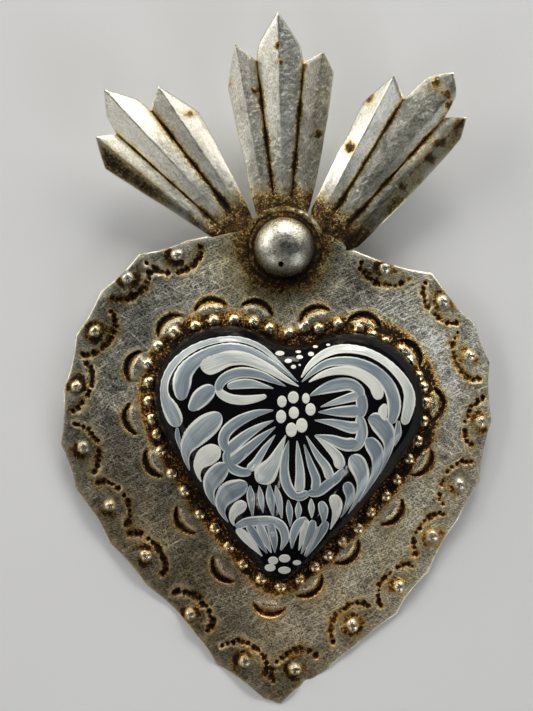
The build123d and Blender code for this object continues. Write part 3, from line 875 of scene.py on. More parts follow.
def plate_marks(flat, gap):
    """Where wash stayed on the plate, where it was rubbed off, the metal's tone, and painted shade and
    highlights.
    """
    spread = np.clip(sway(flat, 7, 1.0, 12.3) + 0.6, 0, 1)
    worn = np.clip(sway(flat, 8, 1.6, 21.0) + 0.55, 0, 1)
    patchy = np.clip(sway(flat, 3.5, 1.6, 4.4) + 0.5, 0, 1)
    right = ramp(flat[:, 0] - VIEW_X, 0, 40)
    low = ramp(HEART_TIP[1] + LOBE[1] - flat[:, 1], 0, 40)
    by_heart = np.clip(gap.heart - 0.8, 0, None)
    by_dome = np.clip(gap.dome - 12.0, 0, None)
    grime = most(
        (0.65 - 0.2 * worn) * bell(gap.dot, 1.2) + 0.18 * bell(gap.dot, 2.4),
        0.14 * low * spread,
        (0.85 * bell(gap.boss - 2.6, 1.2) + 0.3 * bell(gap.boss, 4.6)) * patchy,
        bell(by_heart, 1.5),
    )
    grime = most(
        grime * (1 - 0.22 * right),
        # The wash beside the heart is darker on the right, as painted shade of the heart.
        1.05 * bell(gap.heart - 3.0, 2.3) * (0.55 + 0.45 * spread + 0.4 * right),
        0.62 * bell(by_dome, 4.0) * (0.55 + 0.45 * spread),
        0.34 * bell(by_dome, 10.0) * (0.3 + 0.7 * spread),
    )
    grime = grime * (1 - gap.curl)
    crease = most(0.9 * bell(gap.dot, 0.5) * (0.35 + 0.65 * worn), 0.9 * bell(gap.dome - 10.0, 0.8))
    # Rubbed bright on raised tops and lips; the bright corners, cut edges and dot lips are also painted
    # highlights.
    polish = most(
        0.9 * ramp(BOSS_R - gap.boss, 0.1, 1.2),
        0.7 * gap.curl,
        ramp(BEAD_R - gap.bead, 0.2, 1.0),
        0.5 * bell(gap.corner, 1.8),
        0.9 * bell(gap.edge, 0.35) * ramp(gap.dome, 15, 22),
        0.8 * bell(gap.dot - 1.2, 0.35) * worn,
    )
    for near, part in crescent_parts(flat):
        # The groove's outer wall is blackened by wash and painted shade, more on the right.
        black = 0.45 + 0.25 * right[near]
        crease[near] = most(crease[near], black * part.groove * part.floor)
        left_on = grime[near] * (1 - 0.7 * part.inner)
        grime[near] = most(left_on, 0.5 * part.groove, 0.5 * part.halo)
        # The lips are made bright by rubbing and a painted highlight.
        lip_rub_and_highlight = (0.8 * part.inner + 0.9 * part.outer) * (1 - part.groove)
        polish[near] = most(polish[near], lip_rub_and_highlight)
    grime = grime * ramp(gap.heart, -4.0, -1.0)
    age = sheet_tone(flat) + 0.5 * bell(by_dome, 5.0) * (1 - gap.curl)
    age += 0.2 * (1 - ramp(gap.edge, 5, 10))
    age -= 0.5 * bell(gap.heart - 2.0, 4.0) * ramp(VIEW_X - flat[:, 0], -20, 30)
    film = ramp(VIEW_Z - flat[:, 1], -10, 55) * (1 - 0.4 * ramp(flat[:, 0], 0, 40))
    return {"grime": grime, "crease": crease, "polish": polish, "age": age, "film": film}


print("plate marks ready")

# %% Plate mesh
BOSS_RINGS = (0.5, 1.0, 1.5, 2.0, 2.5, 3.0, 3.5, 4.1)
BEAD_RINGS = (0.45, 0.9, 1.35, 1.8, 2.25, 2.7)
DOT_RINGS = (0.45, 0.85, 1.25, 1.65)
FROM_EDGE = 0.3  # mm that inner mesh points keep from a cut edge

flat, faces = fill_sheet(plate_loop, [
    (shrunk(plate_loop, 0.4), 0.25),
    (np.vstack([rings(b, BOSS_RINGS, 22) for b in bosses]), 0.28),
    (np.vstack([rings(b, BEAD_RINGS, 16) for b in beads]), 0.25),
    (np.vstack([rings(d, DOT_RINGS, 10) for d in dots]), 0.25),
    (np.vstack([crescent_points(c, o) for c, o in zip(crescents, crescent_out)]), 0.25),
    (grid(plate_loop, 1.0), 0.65),
], FROM_EDGE)
gap = plate_gaps(flat)
rise = plate_rise(flat, gap)
plate = cut_sheet("pressed_plate", flat, faces, rise, rise - TIN, plate_marks(flat, gap), plate_tin)
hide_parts("heart_plate")

# %% [markdown]
# ## The flame plumes
# Each plume is one sheet pleated into three ridged leaves, like a paper fan, arched over its middle
# and cut to points. The folds are straight lines from the root to the tips and notches, so the
# height between two folds is a straight ramp. A little rounding keeps the folds from looking like
# paper. Wash and painted shade lie in the valleys, the outer leaves and one side are darkened by
# painted shade and dirt, the cut edges carry a painted highlight, and a few spots show where the
# wash dripped.

# %% Plume patterns
# root: place from the half-ball's axis. turn: direction in degrees. valleys: widths of wash and
# painted shade in the two valleys. Then the side darkened by painted shade and dirt, -1 or 1, with
# how much from the middle out and at the edge. leaves: their heights. ridge: where the middle ridge
# ends. cut: the outline. Both in pixels.
PLUMES = {
    "left_plume": {
        "node": "left_flame", "root": (-15.7, 6.6), "turn": 133.0, "valleys": (0.3, 0.55),
        "shade_and_dirt": (-1, 0.0, 1.05), "leaves": (0.75, 0.85, 1.0), "ridge": (105, 91),
        "cut": [(209, 235), (103.4, 167), (95.3, 136.6), (115.4, 132), (105.8, 115), (105, 91),
                (136, 97.5), (150.4, 108.5), (158.5, 87.2), (198.3, 110), (253, 219)],
    },
    "centre_plume": {
        "node": "centre_flame", "root": (-0.3, 12.0), "turn": 91.5, "valleys": (0.4, 0.4),
        "shade_and_dirt": (1, 0.1, 0.25), "leaves": (1.1, 0.9, 0.6), "ridge": (277.8, 13.6),
        "cut": [(255.6, 212), (227.5, 86), (235.5, 45.3), (256.5, 58.5), (258.5, 43), (277.8, 13.6),
                (301.3, 44.8), (304, 61), (323.3, 50.6), (334.4, 69.7), (310.4, 206)],
    },
    "right_plume": {
        "node": "right_flame", "root": (15.1, 6.0), "turn": 52.8, "valleys": (0.4, 0.4),
        "shade_and_dirt": (1, 0.55, 0.9), "leaves": (1.25, 0.45, 0.75), "ridge": (449, 97),
        "cut": [(311, 209), (364.3, 99.5), (393.3, 77.5), (404.5, 97), (429, 75.5), (454, 71.3),
                (457, 95), (446, 116), (466.8, 117), (463.5, 136), (357.6, 247)],
    },
}
# Drips of wash: pixel and size in mm.
PLUME_SPOTS = [(434, 84, 4.5), (369, 96, 4.5), (350, 146, 4.0), (229, 80, 3.0), (256, 90, 2.5),
               (319, 132, 3.5), (300, 193, 2.0), (449, 108, 4.0), (458, 124, 4.5), (440, 143, 4.0),
               (432, 158, 3.5), (276, 50, 2.5), (280, 63, 2.5), (189, 112, 3.5), (402, 188, 4.0),
               (445, 95, 3.5)]
SPOT_HEIGHT = 4.0
ROOT_FOLDS = (-8.0, -5.3, -2.4, 0.0, 2.4, 5.3, 8.0)
TILT = math.tan(math.radians(8))
PLEAT = 4.0  # depth of the pleats
PLEAT_AT = 43.0  # at this distance from the root
ARCH = 2.0  # fall of the outer edges at the same distance
LEAF_BOW = 0.015  # swell of the leaf edges, as a share of their length
FOOT = 6.0  # the foot behind the plate
FOOT_HALF = 5.0
PLUME_BACK = -TIN  # the plume's root lies against the back of the plate
FOLD_NUDGES = (-0.15, -0.05, 0.05, 0.15)  # averaged over these, a fold is a little round
print("plumes to make:", list(PLUMES))


# %% Plume folds
def plume_axes(root, degrees):
    """Root, and the ways across and along a plume."""
    turn = math.radians(degrees)
    along = np.array([math.cos(turn), math.sin(turn)])
    across = np.array([math.sin(turn), -math.cos(turn)])
    return np.array([root[0], root[1] + DOME_Z]), across, along


def plume_lift(s):
    return PLUME_BACK + np.clip(s - 1, 0, None) * TILT


def plume_outline(pixels, axes):
    """The cut outline in the plume's own across and along, in mm."""
    origin, across, along = axes
    height = np.zeros(len(pixels))
    for _ in range(3):
        off = seen(pixels, height) - origin
        height = plume_lift(off @ along)
    return np.stack([off @ across, off @ along], -1)


def fold_lines(s, folds):
    """Where each fold lies across the plume, at these distances along it."""
    far = np.clip(s, 0, None)
    return [root + (end[0] - root) * far / end[1] for root, end in zip(ROOT_FOLDS, folds)]


def plume_rise(u, s, folds, leaves):
    """Height of the pleats over the plate's face, and the place between the edges from -1 to 1."""
    lines = fold_lines(s, folds)
    reach = np.clip(s - 1, 0, None) / (PLEAT_AT - 1)
    total = 0
    for nudge in FOLD_NUDGES:
        level = np.where(u + nudge < lines[0], -0.5, 0.0)
        for k in range(6):
            share = np.clip((u + nudge - lines[k]) / (lines[k + 1] - lines[k]), 0, 1)
            level = level + share * leaves[k // 2] * (1 if k % 2 == 0 else -1)
        total = total + np.clip(level, 0, 1.5) - 0.5
    side = np.where(u < 0, -u / lines[0], u / lines[6])
    return plume_lift(s) + reach * (PLEAT * total / len(FOLD_NUDGES) - ARCH * side**2), side


def bowed(outline):
    """The outline with the leaf edges swelling a little between the corners."""
    line = []
    t = np.linspace(0, 1, 24)[:-1, None]
    last = len(outline) - 1
    for i, (a, b) in enumerate(zip(outline, np.roll(outline, -1, 0))):
        out = np.array([-(b - a)[1], (b - a)[0]]) * (LEAF_BOW if 1 <= i < last - 1 else 0.0)
        line.append(a + (b - a) * t + out * 4 * t * (1 - t))
    return np.vstack(line)


print("folds in each plume:", len(ROOT_FOLDS))


# %% Plume marks
def plume_marks(plan, world, u, s, side, edge, lines):
    """Where wash and painted shade lie on one plume, where it was rubbed off, its tone, and painted
    highlights on the cut edges.
    """
    shaded_side, middle_shade, edge_shade = plan["shade_and_dirt"]
    grime = 0.42 * (1 - ramp(s, 0.0, 13.0))
    crease = 0.30 * (1 - ramp(s, 0.0, 8.0))
    fade = ramp(s, 0, 7) * (1 - 0.5 * ramp(s, 34, 44))
    # Wash and painted shade darken the two valleys.
    for valley, width in zip((lines[2], lines[4]), plan["valleys"]):
        gap = np.abs(u - valley) + 0.3 * sway(world, 4, 1.0, width)
        crease = most(crease, (0.85 * bell(gap, width) + 0.3 * bell(gap, 2.2 * width)) * fade)
    for x, y, size in PLUME_SPOTS:
        off = np.hypot(*(world - seen((x, y), SPOT_HEIGHT)).T)
        off = off + sway(world, 1.6, 1.1, x) + sway(world, 3.0, 1.6, y)
        grime = most(grime, 0.55 * (1 - ramp(off, 0.0, 0.7 * size)))
        crease = most(crease, 0.4 * (1 - ramp(off, 0.0, 0.55 * size)))
    # The shaded side is darkened from the middle out and at its outer edge, as painted shade and dirt.
    outer = edge_shade * ramp(shaded_side * side, 0.5, 0.8)
    grime = most(grime, 0.62 * outer * np.clip(sway(world, 6, 1.0, 3.3) + 0.6, 0, 1))
    age = 0.05 + middle_shade * ramp(shaded_side * side, -0.35, 0.1) + outer
    clean = 0.2 * np.clip(1 - 2 * age - 2 * grime, 0, 1) * ramp(s, 2, 10)
    # The cut edges get a painted highlight as well as rubbing.
    polish = most(0.9 * bell(edge, 0.3) * ramp(s, 6, 12), clean)
    return {"grime": grime, "crease": crease, "polish": polish, "age": age}


print("spots of wash:", len(PLUME_SPOTS))

# %% Plume meshes
STATIONS = np.arange(0.5, 58, 0.8)  # mm along a fold
BESIDE_FOLD = (-0.4, -0.15, 0, 0.15, 0.4)

for name, plan in PLUMES.items():
    degrees = plan["turn"]
    axes = plume_axes(plan["root"], degrees)
    origin, across, along = axes
    *outline, ridge_end = plume_outline([*plan["cut"], plan["ridge"]], axes)
    outline = np.array(outline)
    folds = outline[[1, 2, 3, 5, 7, 8, 9]]  # edge, ridge, valley, ridge, valley, ridge, edge
    folds[3] = ridge_end
    shape = bowed(np.vstack([outline, [(FOOT_HALF, -FOOT), (-FOOT_HALF, -FOOT)]]))
    shape = shape + np.stack([sway(shape, 7, 0.14, degrees), sway(shape, 7, 0.14, degrees + 40)], -1)
    loop = even_steps(np.vstack([shape, shape[:1]]), 420)[:-1][::-1]
    rows = []
    for line in fold_lines(STATIONS, folds)[1:-1]:
        rows += [np.stack([line + nudge, STATIONS], -1) for nudge in BESIDE_FOLD]
    flat, faces = fill_sheet(loop, [
        (shrunk(loop, 0.4), 0.25),
        (np.vstack(rows), 0.13),
        (grid(loop, 1.0), 0.65),
    ], FROM_EDGE)
    u, s = flat.T
    rise, side = plume_rise(u, s, folds, plan["leaves"])
    edge = inside_by(flat, loop)
    rise += sway(flat, 14, 0.35, degrees) * ramp(s, 4, 20)
    rise += sway(flat, 5, 0.10, degrees + 9) * ramp(s, 4, 12)
    rise -= EDGE_ROUND * (1 - ramp(edge, 0, 1.5 * EDGE_ROUND)) * ramp(s, 2, 6)
    world = origin + np.outer(u, across) + np.outer(s, along)
    marks = plume_marks(plan, world, u, s, side, edge, fold_lines(s, folds))
    node = plan["node"]
    flame_tin = aged_tin(node + "_tin", 0.34, 0.05, 0.7, -math.radians(degrees), DRAB_WASH_AND_SHADE)
    plume = cut_sheet(name, world, faces, rise, rise - TIN, marks, flame_tin)
    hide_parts(node)

# %% [markdown]
# ## The half-ball and its solder
# The ball is a pressed cup with a small vent hole, soldered down. A sphere primitive would do for
# the cup, but rings of points let the vent be sunk, the foot carry grime and the middle carry a
# painted dark reflection. The solder is a lumpy run, dark with wash.

# %% Half-ball
dome_low, dome_high = (np.array(corner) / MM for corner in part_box("dome_boss"))
DOME_R = (dome_high[0] - dome_low[0]) / 2
DOME_HEIGHT = dome_high[1] - dome_low[1]
DOME_BALL = (DOME_R**2 + DOME_HEIGHT**2) / (2 * DOME_HEIGHT)
VENT_PIXEL = (281, 264)
VENT_HEIGHT = 7.5  # over the plate's face
VENT_R = 0.75
VENT_DEEP = 1.6
VENT_DIMPLE = 0.12  # the metal dips round it
VENT_RINGS = (0.3, 0.5, 0.65, 0.75, 0.85, 1.0, 1.25)


def dome_gap(flat):
    """Distance from the half-ball's axis."""
    return np.hypot(*(flat - (0, DOME_Z)).T)


def dome_rise(flat):
    """Height of the smooth ball over the plate's face."""
    return np.sqrt(np.clip(DOME_BALL**2 - dome_gap(flat) ** 2, 0, None)) - (DOME_BALL - DOME_HEIGHT)


dome_loop = circle_points((0, DOME_Z), DOME_R, 0, math.tau, 121)[:-1]
dome_rings = DOME_R * np.sin(np.linspace(0.05, 1.0, 24) * math.pi / 2)
vent_place = seen(VENT_PIXEL, VENT_HEIGHT)
dome_points = thin_out([
    (dome_loop, 0.02),
    (rings(vent_place, VENT_RINGS, 24), 0.08),
    (np.vstack([rings((0, DOME_Z), [r], max(12, int(r * 12))) for r in dome_rings[:-1]]), 0.11),
])[len(dome_loop):]
flat, faces = fill(dome_loop, dome_points[dome_gap(dome_points) < DOME_R - 0.004])
vent = np.hypot(*(flat - vent_place).T)
gap = dome_gap(flat)
rise = dome_rise(flat) - VENT_DEEP * (1 - ramp(vent, 0.55 * VENT_R, VENT_R)) - VENT_DIMPLE * bell(vent, 1.2)
rise += sway(flat, 4.0, 0.12, 2.2) * ramp(DOME_R - gap, 0, 2)
marks = {
    "grime": 0.5 * ramp(gap, 0.85 * DOME_R, DOME_R),
    "crease": 1.0 * (1 - ramp(vent, 0.6, 0.95)) + 0.7 * ramp(gap, 0.975 * DOME_R, DOME_R),
    "polish": np.zeros(len(flat)),
    # The ball's middle is darkened as a painted reflection of the dim patch in front of it, and it darkens
    # towards its foot.
    "age": 0.38 + 0.5 * bell(gap, 0.35 * DOME_R) + 0.3 * ramp(gap, 0.7 * DOME_R, DOME_R),
}
hollow = np.maximum(dome_rise(flat) * 0.94 - 0.45, -0.02)
ball = cut_sheet("half_ball", flat, faces, rise, np.minimum(hollow, rise - 0.02), marks, dome_tin)
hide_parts("dome_boss")

# %% Solder round the half-ball
SOLDER_STEPS = 180
SOLDER_PROFILE = [(-0.25, 0.0), (-0.12, 0.50), (0.05, 0.52), (0.30, 0.33), (0.60, 0.18), (0.95, 0.08),
                  (1.25, 0.0)]  # out from the half-ball's foot, and up
turns = np.linspace(0, math.tau, SOLDER_STEPS + 1)[:-1]
spokes = np.stack([np.cos(turns), np.sin(turns)], -1)
lumps = sway(spokes, 0.3, 0.55, 1.7) + sway(spokes, 0.1, 0.35, 4.1)
out, high = np.array(SOLDER_PROFILE).T
reach = DOME_R + out * (1 + 0.6 * lumps[:, None])
level = high * (1 + 0.7 * lumps[:, None])
places = [reach * spokes[:, :1], PLATE_Y - level, DOME_Z + reach * spokes[:, 1:]]
points = np.stack(places, -1).reshape(-1, 3)
wide = len(SOLDER_PROFILE)
faces = []
for i in range(SOLDER_STEPS):
    k = (i + 1) % SOLDER_STEPS
    for j in range(wide):
        m = (j + 1) % wide
        faces.append((i * wide + j, k * wide + j, k * wide + m, i * wide + m))
solder_tin = aged_tin("solder_tin", 0.45, 0.20, 1.0)
foot_wash = np.tile(np.interp(out, (0.0, 0.5), (1.25, 0.72)), SOLDER_STEPS)
marks = {"grime": foot_wash, "age": np.full(len(points), 0.95)}
ball_solder = piece("half_ball_solder", points, faces, marks, solder_tin)
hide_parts("dome_solder")

# %% [markdown]
# ## The puffed wooden heart
# The wood is rounded like a cushion, with a steep side and a soft crease below the cleft, under
# black lacquer. It could be sculpted, but a formula also tells the brush strokes where the lacquer
# is: two long barrels, one for each lobe, meet at the middle, and a quarter-round takes them down
# to the foot.

# %% Heart shape
HEART_CREST = 12.5  # mm over the glue
HEART_FOOT = 1.8  # height of its upright side
HEART_GLUE = PLATE_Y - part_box("heart_glue_bed")[0].y / MM
EDGE_RUN = 10.0  # width of the quarter-round
ACROSS_R = 66.0  # the barrels' two radii
ALONG_R = 160.0
CREASE_SOFT = 3.0


def heart_rise(flat):
    """Height of the lacquered face over the plate's face."""
    own = unlean(flat)
    axis = LOBE / np.hypot(*LOBE)
    off = np.stack([np.sqrt(own[:, 0] ** 2 + CREASE_SOFT**2), own[:, 1]], -1) - LOBE
    along = off @ axis
    across = off @ np.array([axis[1], -axis[0]])
    top = HEART_CREST - across**2 / (2 * ACROSS_R) - along**2 / (2 * ALONG_R)
    share = np.clip(inside_by(flat, heart_loop) / EDGE_RUN, 0, 1)
    return HEART_GLUE + HEART_FOOT + (top - HEART_FOOT) * np.sqrt(1 - (1 - share) ** 2)


lacquer = finish("black_lacquer")
here = lacquer.place()
orange_peel = lacquer.cloud(here, 0.35, 2.0)
dust = lacquer.ease(lacquer.cloud(here, 1.6, 3.0), 0.64, 0.8)
foot = lacquer.mark("foot")
grit = lacquer.cloud(here, 1.1, 2.0)
speck = lacquer.mix(dust * 0.5, (0.004, 0.004, 0.005), (0.022, 0.020, 0.017))
black_lacquer = lacquer.surface({
    "Base Color": speck,
    "Roughness": 0.05 + 0.12 * dust + 0.06 * foot,
    "IOR": 1.22,
    "Normal": lacquer.bump(0.03 * orange_peel + 0.3 * foot * grit),
})

INSETS = (0.05, 0.18, 0.4, 0.75, 1.25, 1.9, 2.7, 3.7, 4.7, 5.6)
inset_rings = np.vstack([heart_line(-inset, 340 - int(12 * inset)) for inset in INSETS])
flat, faces = fill_sheet(heart_loop, [(inset_rings, 0.04), (grid(heart_loop, 1.0), 0.7)], 0.02)
heart_back = np.full(len(flat), HEART_GLUE)
marks = {"foot": 1 - ramp(inside_by(flat, heart_loop), 0.5, 3.0)}
wooden_heart = cut_sheet("lacquered_heart", flat, faces, heart_rise(flat), heart_back, marks, black_lacquer)
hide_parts("painted_heart")

# %% [markdown]
# ## Brush strokes
# The flowers are comma strokes from a loaded brush: a fat head and a thin tail, pale grey-blue
# with cream, streaked along the pull. Each stroke is a strip of mesh laid on the lacquer and a hair
# proud of it, wide where the brush pressed. A stroke is a list of places and widths read off an
# enlarged photograph.

# %% The strokes
ENLARGED = 5.7  # the strokes were read off an enlargement of the heart
ENLARGED_FROM = (150, 325)
CREAM = 0.9  # tones, from blue at 0 to cream at 1
BLUE = 0.15
# Tone, then places and widths from one end of the stroke to the other.
STROKES = [
    # Left lobe
    (0.4, [(845, 325, 5), (760, 240, 14), (700, 180, 22), (620, 118, 28), (520, 83, 30), (420, 80, 30),
           (300, 108, 36), (200, 160, 40), (125, 235, 46), (85, 320, 46), (82, 400, 52), (112, 470, 90),
           (140, 530, 90), (158, 582, 64)]),
    (BLUE, [(835, 322, 4), (760, 260, 16), (680, 205, 30), (580, 150, 40), (470, 125, 46),
            (370, 145, 56), (270, 195, 72), (200, 265, 92), (180, 340, 100), (178, 430, 50)]),
    (0.7, [(848, 350, 6), (780, 313, 28), (700, 262, 42), (620, 216, 60), (540, 190, 70),
           (450, 190, 82), (380, 210, 105), (330, 228, 110), (288, 240, 95)]),
    # Right lobe
    (0.7, [(862, 300, 8), (910, 230, 30), (980, 172, 40), (1060, 140, 46), (1150, 135, 46),
           (1250, 158, 42), (1350, 215, 44), (1430, 295, 50), (1475, 375, 60), (1478, 455, 68),
           (1448, 568, 46)]),
    (BLUE, [(865, 325, 6), (930, 265, 28), (1010, 218, 40), (1100, 206, 48), (1190, 218, 54),
            (1280, 262, 62), (1350, 330, 68), (1385, 405, 72), (1392, 480, 70), (1375, 562, 40)]),
    (CREAM, [(905, 325, 8), (970, 288, 28), (1050, 263, 40), (1140, 262, 48), (1220, 290, 58),
             (1280, 340, 66), (1298, 390, 62), (1292, 426, 44)]),
    (CREAM, [(1345, 450, 20), (1328, 485, 46), (1330, 520, 40), (1348, 552, 6)]),
    (BLUE, [(1415, 545, 16), (1412, 620, 40), (1395, 690, 6)]),
    # Upper-left petal
    (BLUE, [(775, 350, 4), (700, 315, 30), (620, 283, 46), (530, 270, 54), (455, 288, 56),
            (405, 325, 50), (385, 375, 40)]),
    (0.4, [(705, 362, 6), (640, 347, 28), (570, 335, 50), (500, 338, 50), (440, 352, 30)]),
    (0.75, [(664, 405, 22), (600, 420, 40), (530, 428, 50), (460, 420, 50), (410, 395, 46),
            (380, 360, 36)]),
    # Left flank leaves
    (BLUE, [(368, 355, 40), (330, 380, 85), (285, 420, 95), (248, 468, 62), (240, 492, 40)]),
    (0.3, [(403, 505, 50), (360, 545, 105), (310, 585, 125), (250, 640, 115), (210, 700, 75),
           (205, 760, 36), (225, 830, 6)]),
    (BLUE, [(155, 585, 14), (158, 640, 28), (175, 715, 6)]),
    (CREAM, [(398, 700, 60), (360, 725, 95), (315, 755, 100), (278, 800, 60), (275, 850, 26),
             (292, 895, 5)]),
    (BLUE, [(440, 795, 50), (400, 830, 90), (355, 885, 95), (340, 940, 60), (355, 1000, 26),
            (375, 1035, 4)]),
    (BLUE, [(552, 900, 50), (510, 925, 90), (450, 955, 110), (410, 1010, 75), (412, 1070, 32),
            (445, 1125, 6)]),
    (0.8, [(550, 1018, 40), (515, 1035, 66), (480, 1070, 52), (468, 1110, 28), (480, 1145, 6)]),
    # Lower-left petal
    (0.35, [(705, 543, 6), (620, 583, 36), (540, 635, 56), (475, 690, 66), (434, 724, 58)]),
    (BLUE, [(716, 580, 6), (630, 645, 40), (550, 712, 56), (490, 762, 62), (446, 790, 56)]),
    (0.45, [(714, 626, 6), (655, 702, 32), (605, 780, 44), (560, 828, 50)]),
    (BLUE, [(702, 486, 8), (610, 503, 38), (520, 540, 56), (450, 590, 62), (420, 640, 58),
            (425, 690, 50), (455, 720, 30)]),
    (BLUE, [(446, 715, 40), (440, 760, 50), (468, 812, 56), (520, 838, 50), (578, 838, 40)]),
    (0.6, [(774, 628, 6), (735, 715, 44), (700, 790, 80), (655, 850, 120), (612, 895, 70)]),
    # Bottom petal
    (0.45, [(838, 660, 6), (848, 760, 34), (856, 850, 48), (852, 950, 56)]),
    (BLUE, [(878, 680, 6), (914, 790, 34), (946, 880, 47), (940, 950, 50)]),
    (0.45, [(890, 632, 6), (950, 735, 33), (1004, 810, 47), (1030, 880, 54)]),
    (0.7, [(938, 630, 6), (1010, 690, 36), (1070, 755, 58), (1085, 820, 62)]),
    (BLUE, [(790, 658, 6), (772, 740, 38), (765, 830, 50), (780, 910, 56), (815, 965, 50),
            (850, 980, 30)]),
    (BLUE, [(800, 955, 30), (850, 978, 48), (905, 955, 40)]),
    (BLUE, [(900, 960, 36), (960, 950, 52), (1020, 905, 54), (1070, 865, 50), (1105, 820, 30)]),
    # Right petal
    (0.4, [(972, 467, 5), (1055, 440, 32), (1140, 414, 48), (1190, 402, 54)]),
    (BLUE, [(958, 497, 5), (1060, 494, 46), (1150, 492, 64), (1198, 488, 66)]),
    (0.35, [(938, 543, 5), (1040, 557, 38), (1140, 583, 60), (1194, 582, 70)]),
    (BLUE, [(942, 628, 6), (1030, 652, 48), (1120, 682, 68), (1182, 670, 70)]),
    (BLUE, [(912, 402, 8), (985, 368, 48), (1065, 344, 68), (1140, 339, 62), (1190, 370, 52),
            (1205, 410, 40)]),
    (BLUE, [(1172, 362, 40), (1200, 410, 58), (1208, 470, 62), (1192, 528, 46)]),
    (0.35, [(1188, 518, 40), (1204, 570, 58), (1207, 630, 62), (1180, 688, 52), (1140, 706, 24)]),
    # Right flank leaves
    (BLUE, [(1245, 530, 50), (1295, 550, 95), (1345, 610, 95), (1362, 680, 60), (1345, 760, 30),
            (1310, 850, 6)]),
    (BLUE, [(1232, 650, 50), (1270, 690, 80), (1298, 750, 75), (1290, 830, 50), (1245, 920, 26),
            (1190, 1010, 6)]),
    (0.35, [(1145, 745, 60), (1180, 790, 95), (1208, 860, 80), (1205, 930, 50), (1165, 1020, 20),
            (1130, 1075, 4)]),
    (BLUE, [(1105, 905, 40), (1130, 930, 60), (1140, 985, 46), (1110, 1060, 16), (1085, 1100, 4)]),
    (CREAM, [(1035, 970, 46), (1060, 1015, 64), (1062, 1075, 44), (1028, 1165, 6)]),
    (0.4, [(972, 1005, 30), (988, 1050, 50), (992, 1100, 30), (985, 1130, 8)]),
    # Dashes above the small flowers
    (BLUE, [(570, 915, 8), (574, 980, 42), (585, 1090, 8)]),
    (0.4, [(622, 915, 6), (632, 985, 34), (645, 1072, 6)]),
    (BLUE, [(678, 902, 8), (685, 985, 46), (702, 1092, 8)]),
    (0.35, [(716, 912, 6), (733, 995, 40), (752, 1103, 8)]),
    (BLUE, [(787, 997, 8), (795, 1060, 36), (800, 1150, 6)]),
    (0.4, [(845, 1005, 8), (846, 1055, 36), (842, 1112, 8)]),
    (0.5, [(918, 990, 8), (920, 1040, 34), (922, 1100, 8)]),
    # Small flowers at the tip
    (0.75, [(495, 1160, 40), (560, 1225, 52), (640, 1318, 6)]),
    (BLUE, [(560, 1140, 40), (612, 1220, 46), (668, 1303, 6)]),
    (0.45, [(620, 1130, 40), (655, 1220, 44), (692, 1300, 6)]),
    (BLUE, [(685, 1130, 40), (705, 1215, 44), (712, 1300, 6)]),
    (0.3, [(488, 1152, 30), (550, 1125, 52), (625, 1118, 56), (700, 1118, 52), (752, 1150, 52),
           (770, 1215, 44), (745, 1285, 10)]),
    (0.35, [(895, 1102, 24), (850, 1130, 50), (818, 1195, 44), (808, 1275, 8)]),
    (0.8, [(890, 1105, 30), (880, 1170, 44), (848, 1285, 6)]),
    (0.3, [(930, 1112, 34), (912, 1190, 52), (862, 1305, 6)]),
    (0.5, [(962, 1150, 30), (930, 1225, 44), (880, 1315, 6)]),
    (BLUE, [(1008, 1118, 30), (985, 1165, 50), (940, 1250, 26), (888, 1322, 6)]),
]
# Place, width and height of each dab.
DABS = [
    # Flower centre
    (752, 436, 54, 58), (817, 412, 62, 60), (889, 418, 44, 52), (915, 481, 58, 62), (820, 500, 58, 60),
    (747, 522, 58, 66), (806, 597, 64, 72), (865, 572, 66, 72),
    # Below the cleft
    (740, 162, 52, 24), (845, 153, 32, 14), (853, 183, 38, 20), (788, 205, 42, 22), (818, 239, 30, 20),
    (853, 228, 14, 10), (918, 166, 34, 22), (943, 124, 28, 14), (1016, 114, 24, 12),
    # At the tip
    (702, 1342, 58, 44), (767, 1330, 66, 44), (685, 1383, 62, 40), (766, 1397, 72, 40), (837, 1354, 48, 28),
]
print("strokes:", len(STROKES), "dabs:", len(DABS))

# %% Strips of paint
PAINT = 0.10  # mm proud of the lacquer
PAINT_BED = -0.03
FULL_LOAD = 0.6  # half width at which the paint stands at its full height
THINNEST = 0.3  # of a line, in pixels
LINE_SAMPLES = 40
STROKE_ROWS = 36
BRUSH_SPREAD = 1.1  # the strokes read a little narrow
LAYER = 0.003  # keeps strokes that cross apart
LAYERS = 9
SEED_STEP = 7.3  # so that no two strokes streak alike
HALF_LANES = np.array([0.23, 0.46, 0.68, 0.85, 0.95, 1.0])
LANES = np.concatenate([-HALF_LANES[::-1], [0.0], HALF_LANES])
SLOPE_STEP = 0.05


def on_heart(pixels):
    """Places on the lacquer seen at these pixels."""
    height = np.full(len(pixels), HEART_CREST)
    for _ in range(5):
        flat = seen(pixels, height)
        height = heart_rise(flat)
    return flat


def heart_out(flat):
    """Outward direction of the lacquer at these places."""
    slopes = []
    for step in np.eye(2) * SLOPE_STEP:
        slopes.append((heart_rise(flat + step) - heart_rise(flat - step)) / (2 * SLOPE_STEP))
    out = np.stack([-slopes[0], -np.ones(len(flat)), -slopes[1]], -1)
    return out / np.linalg.norm(out, axis=1)[:, None]


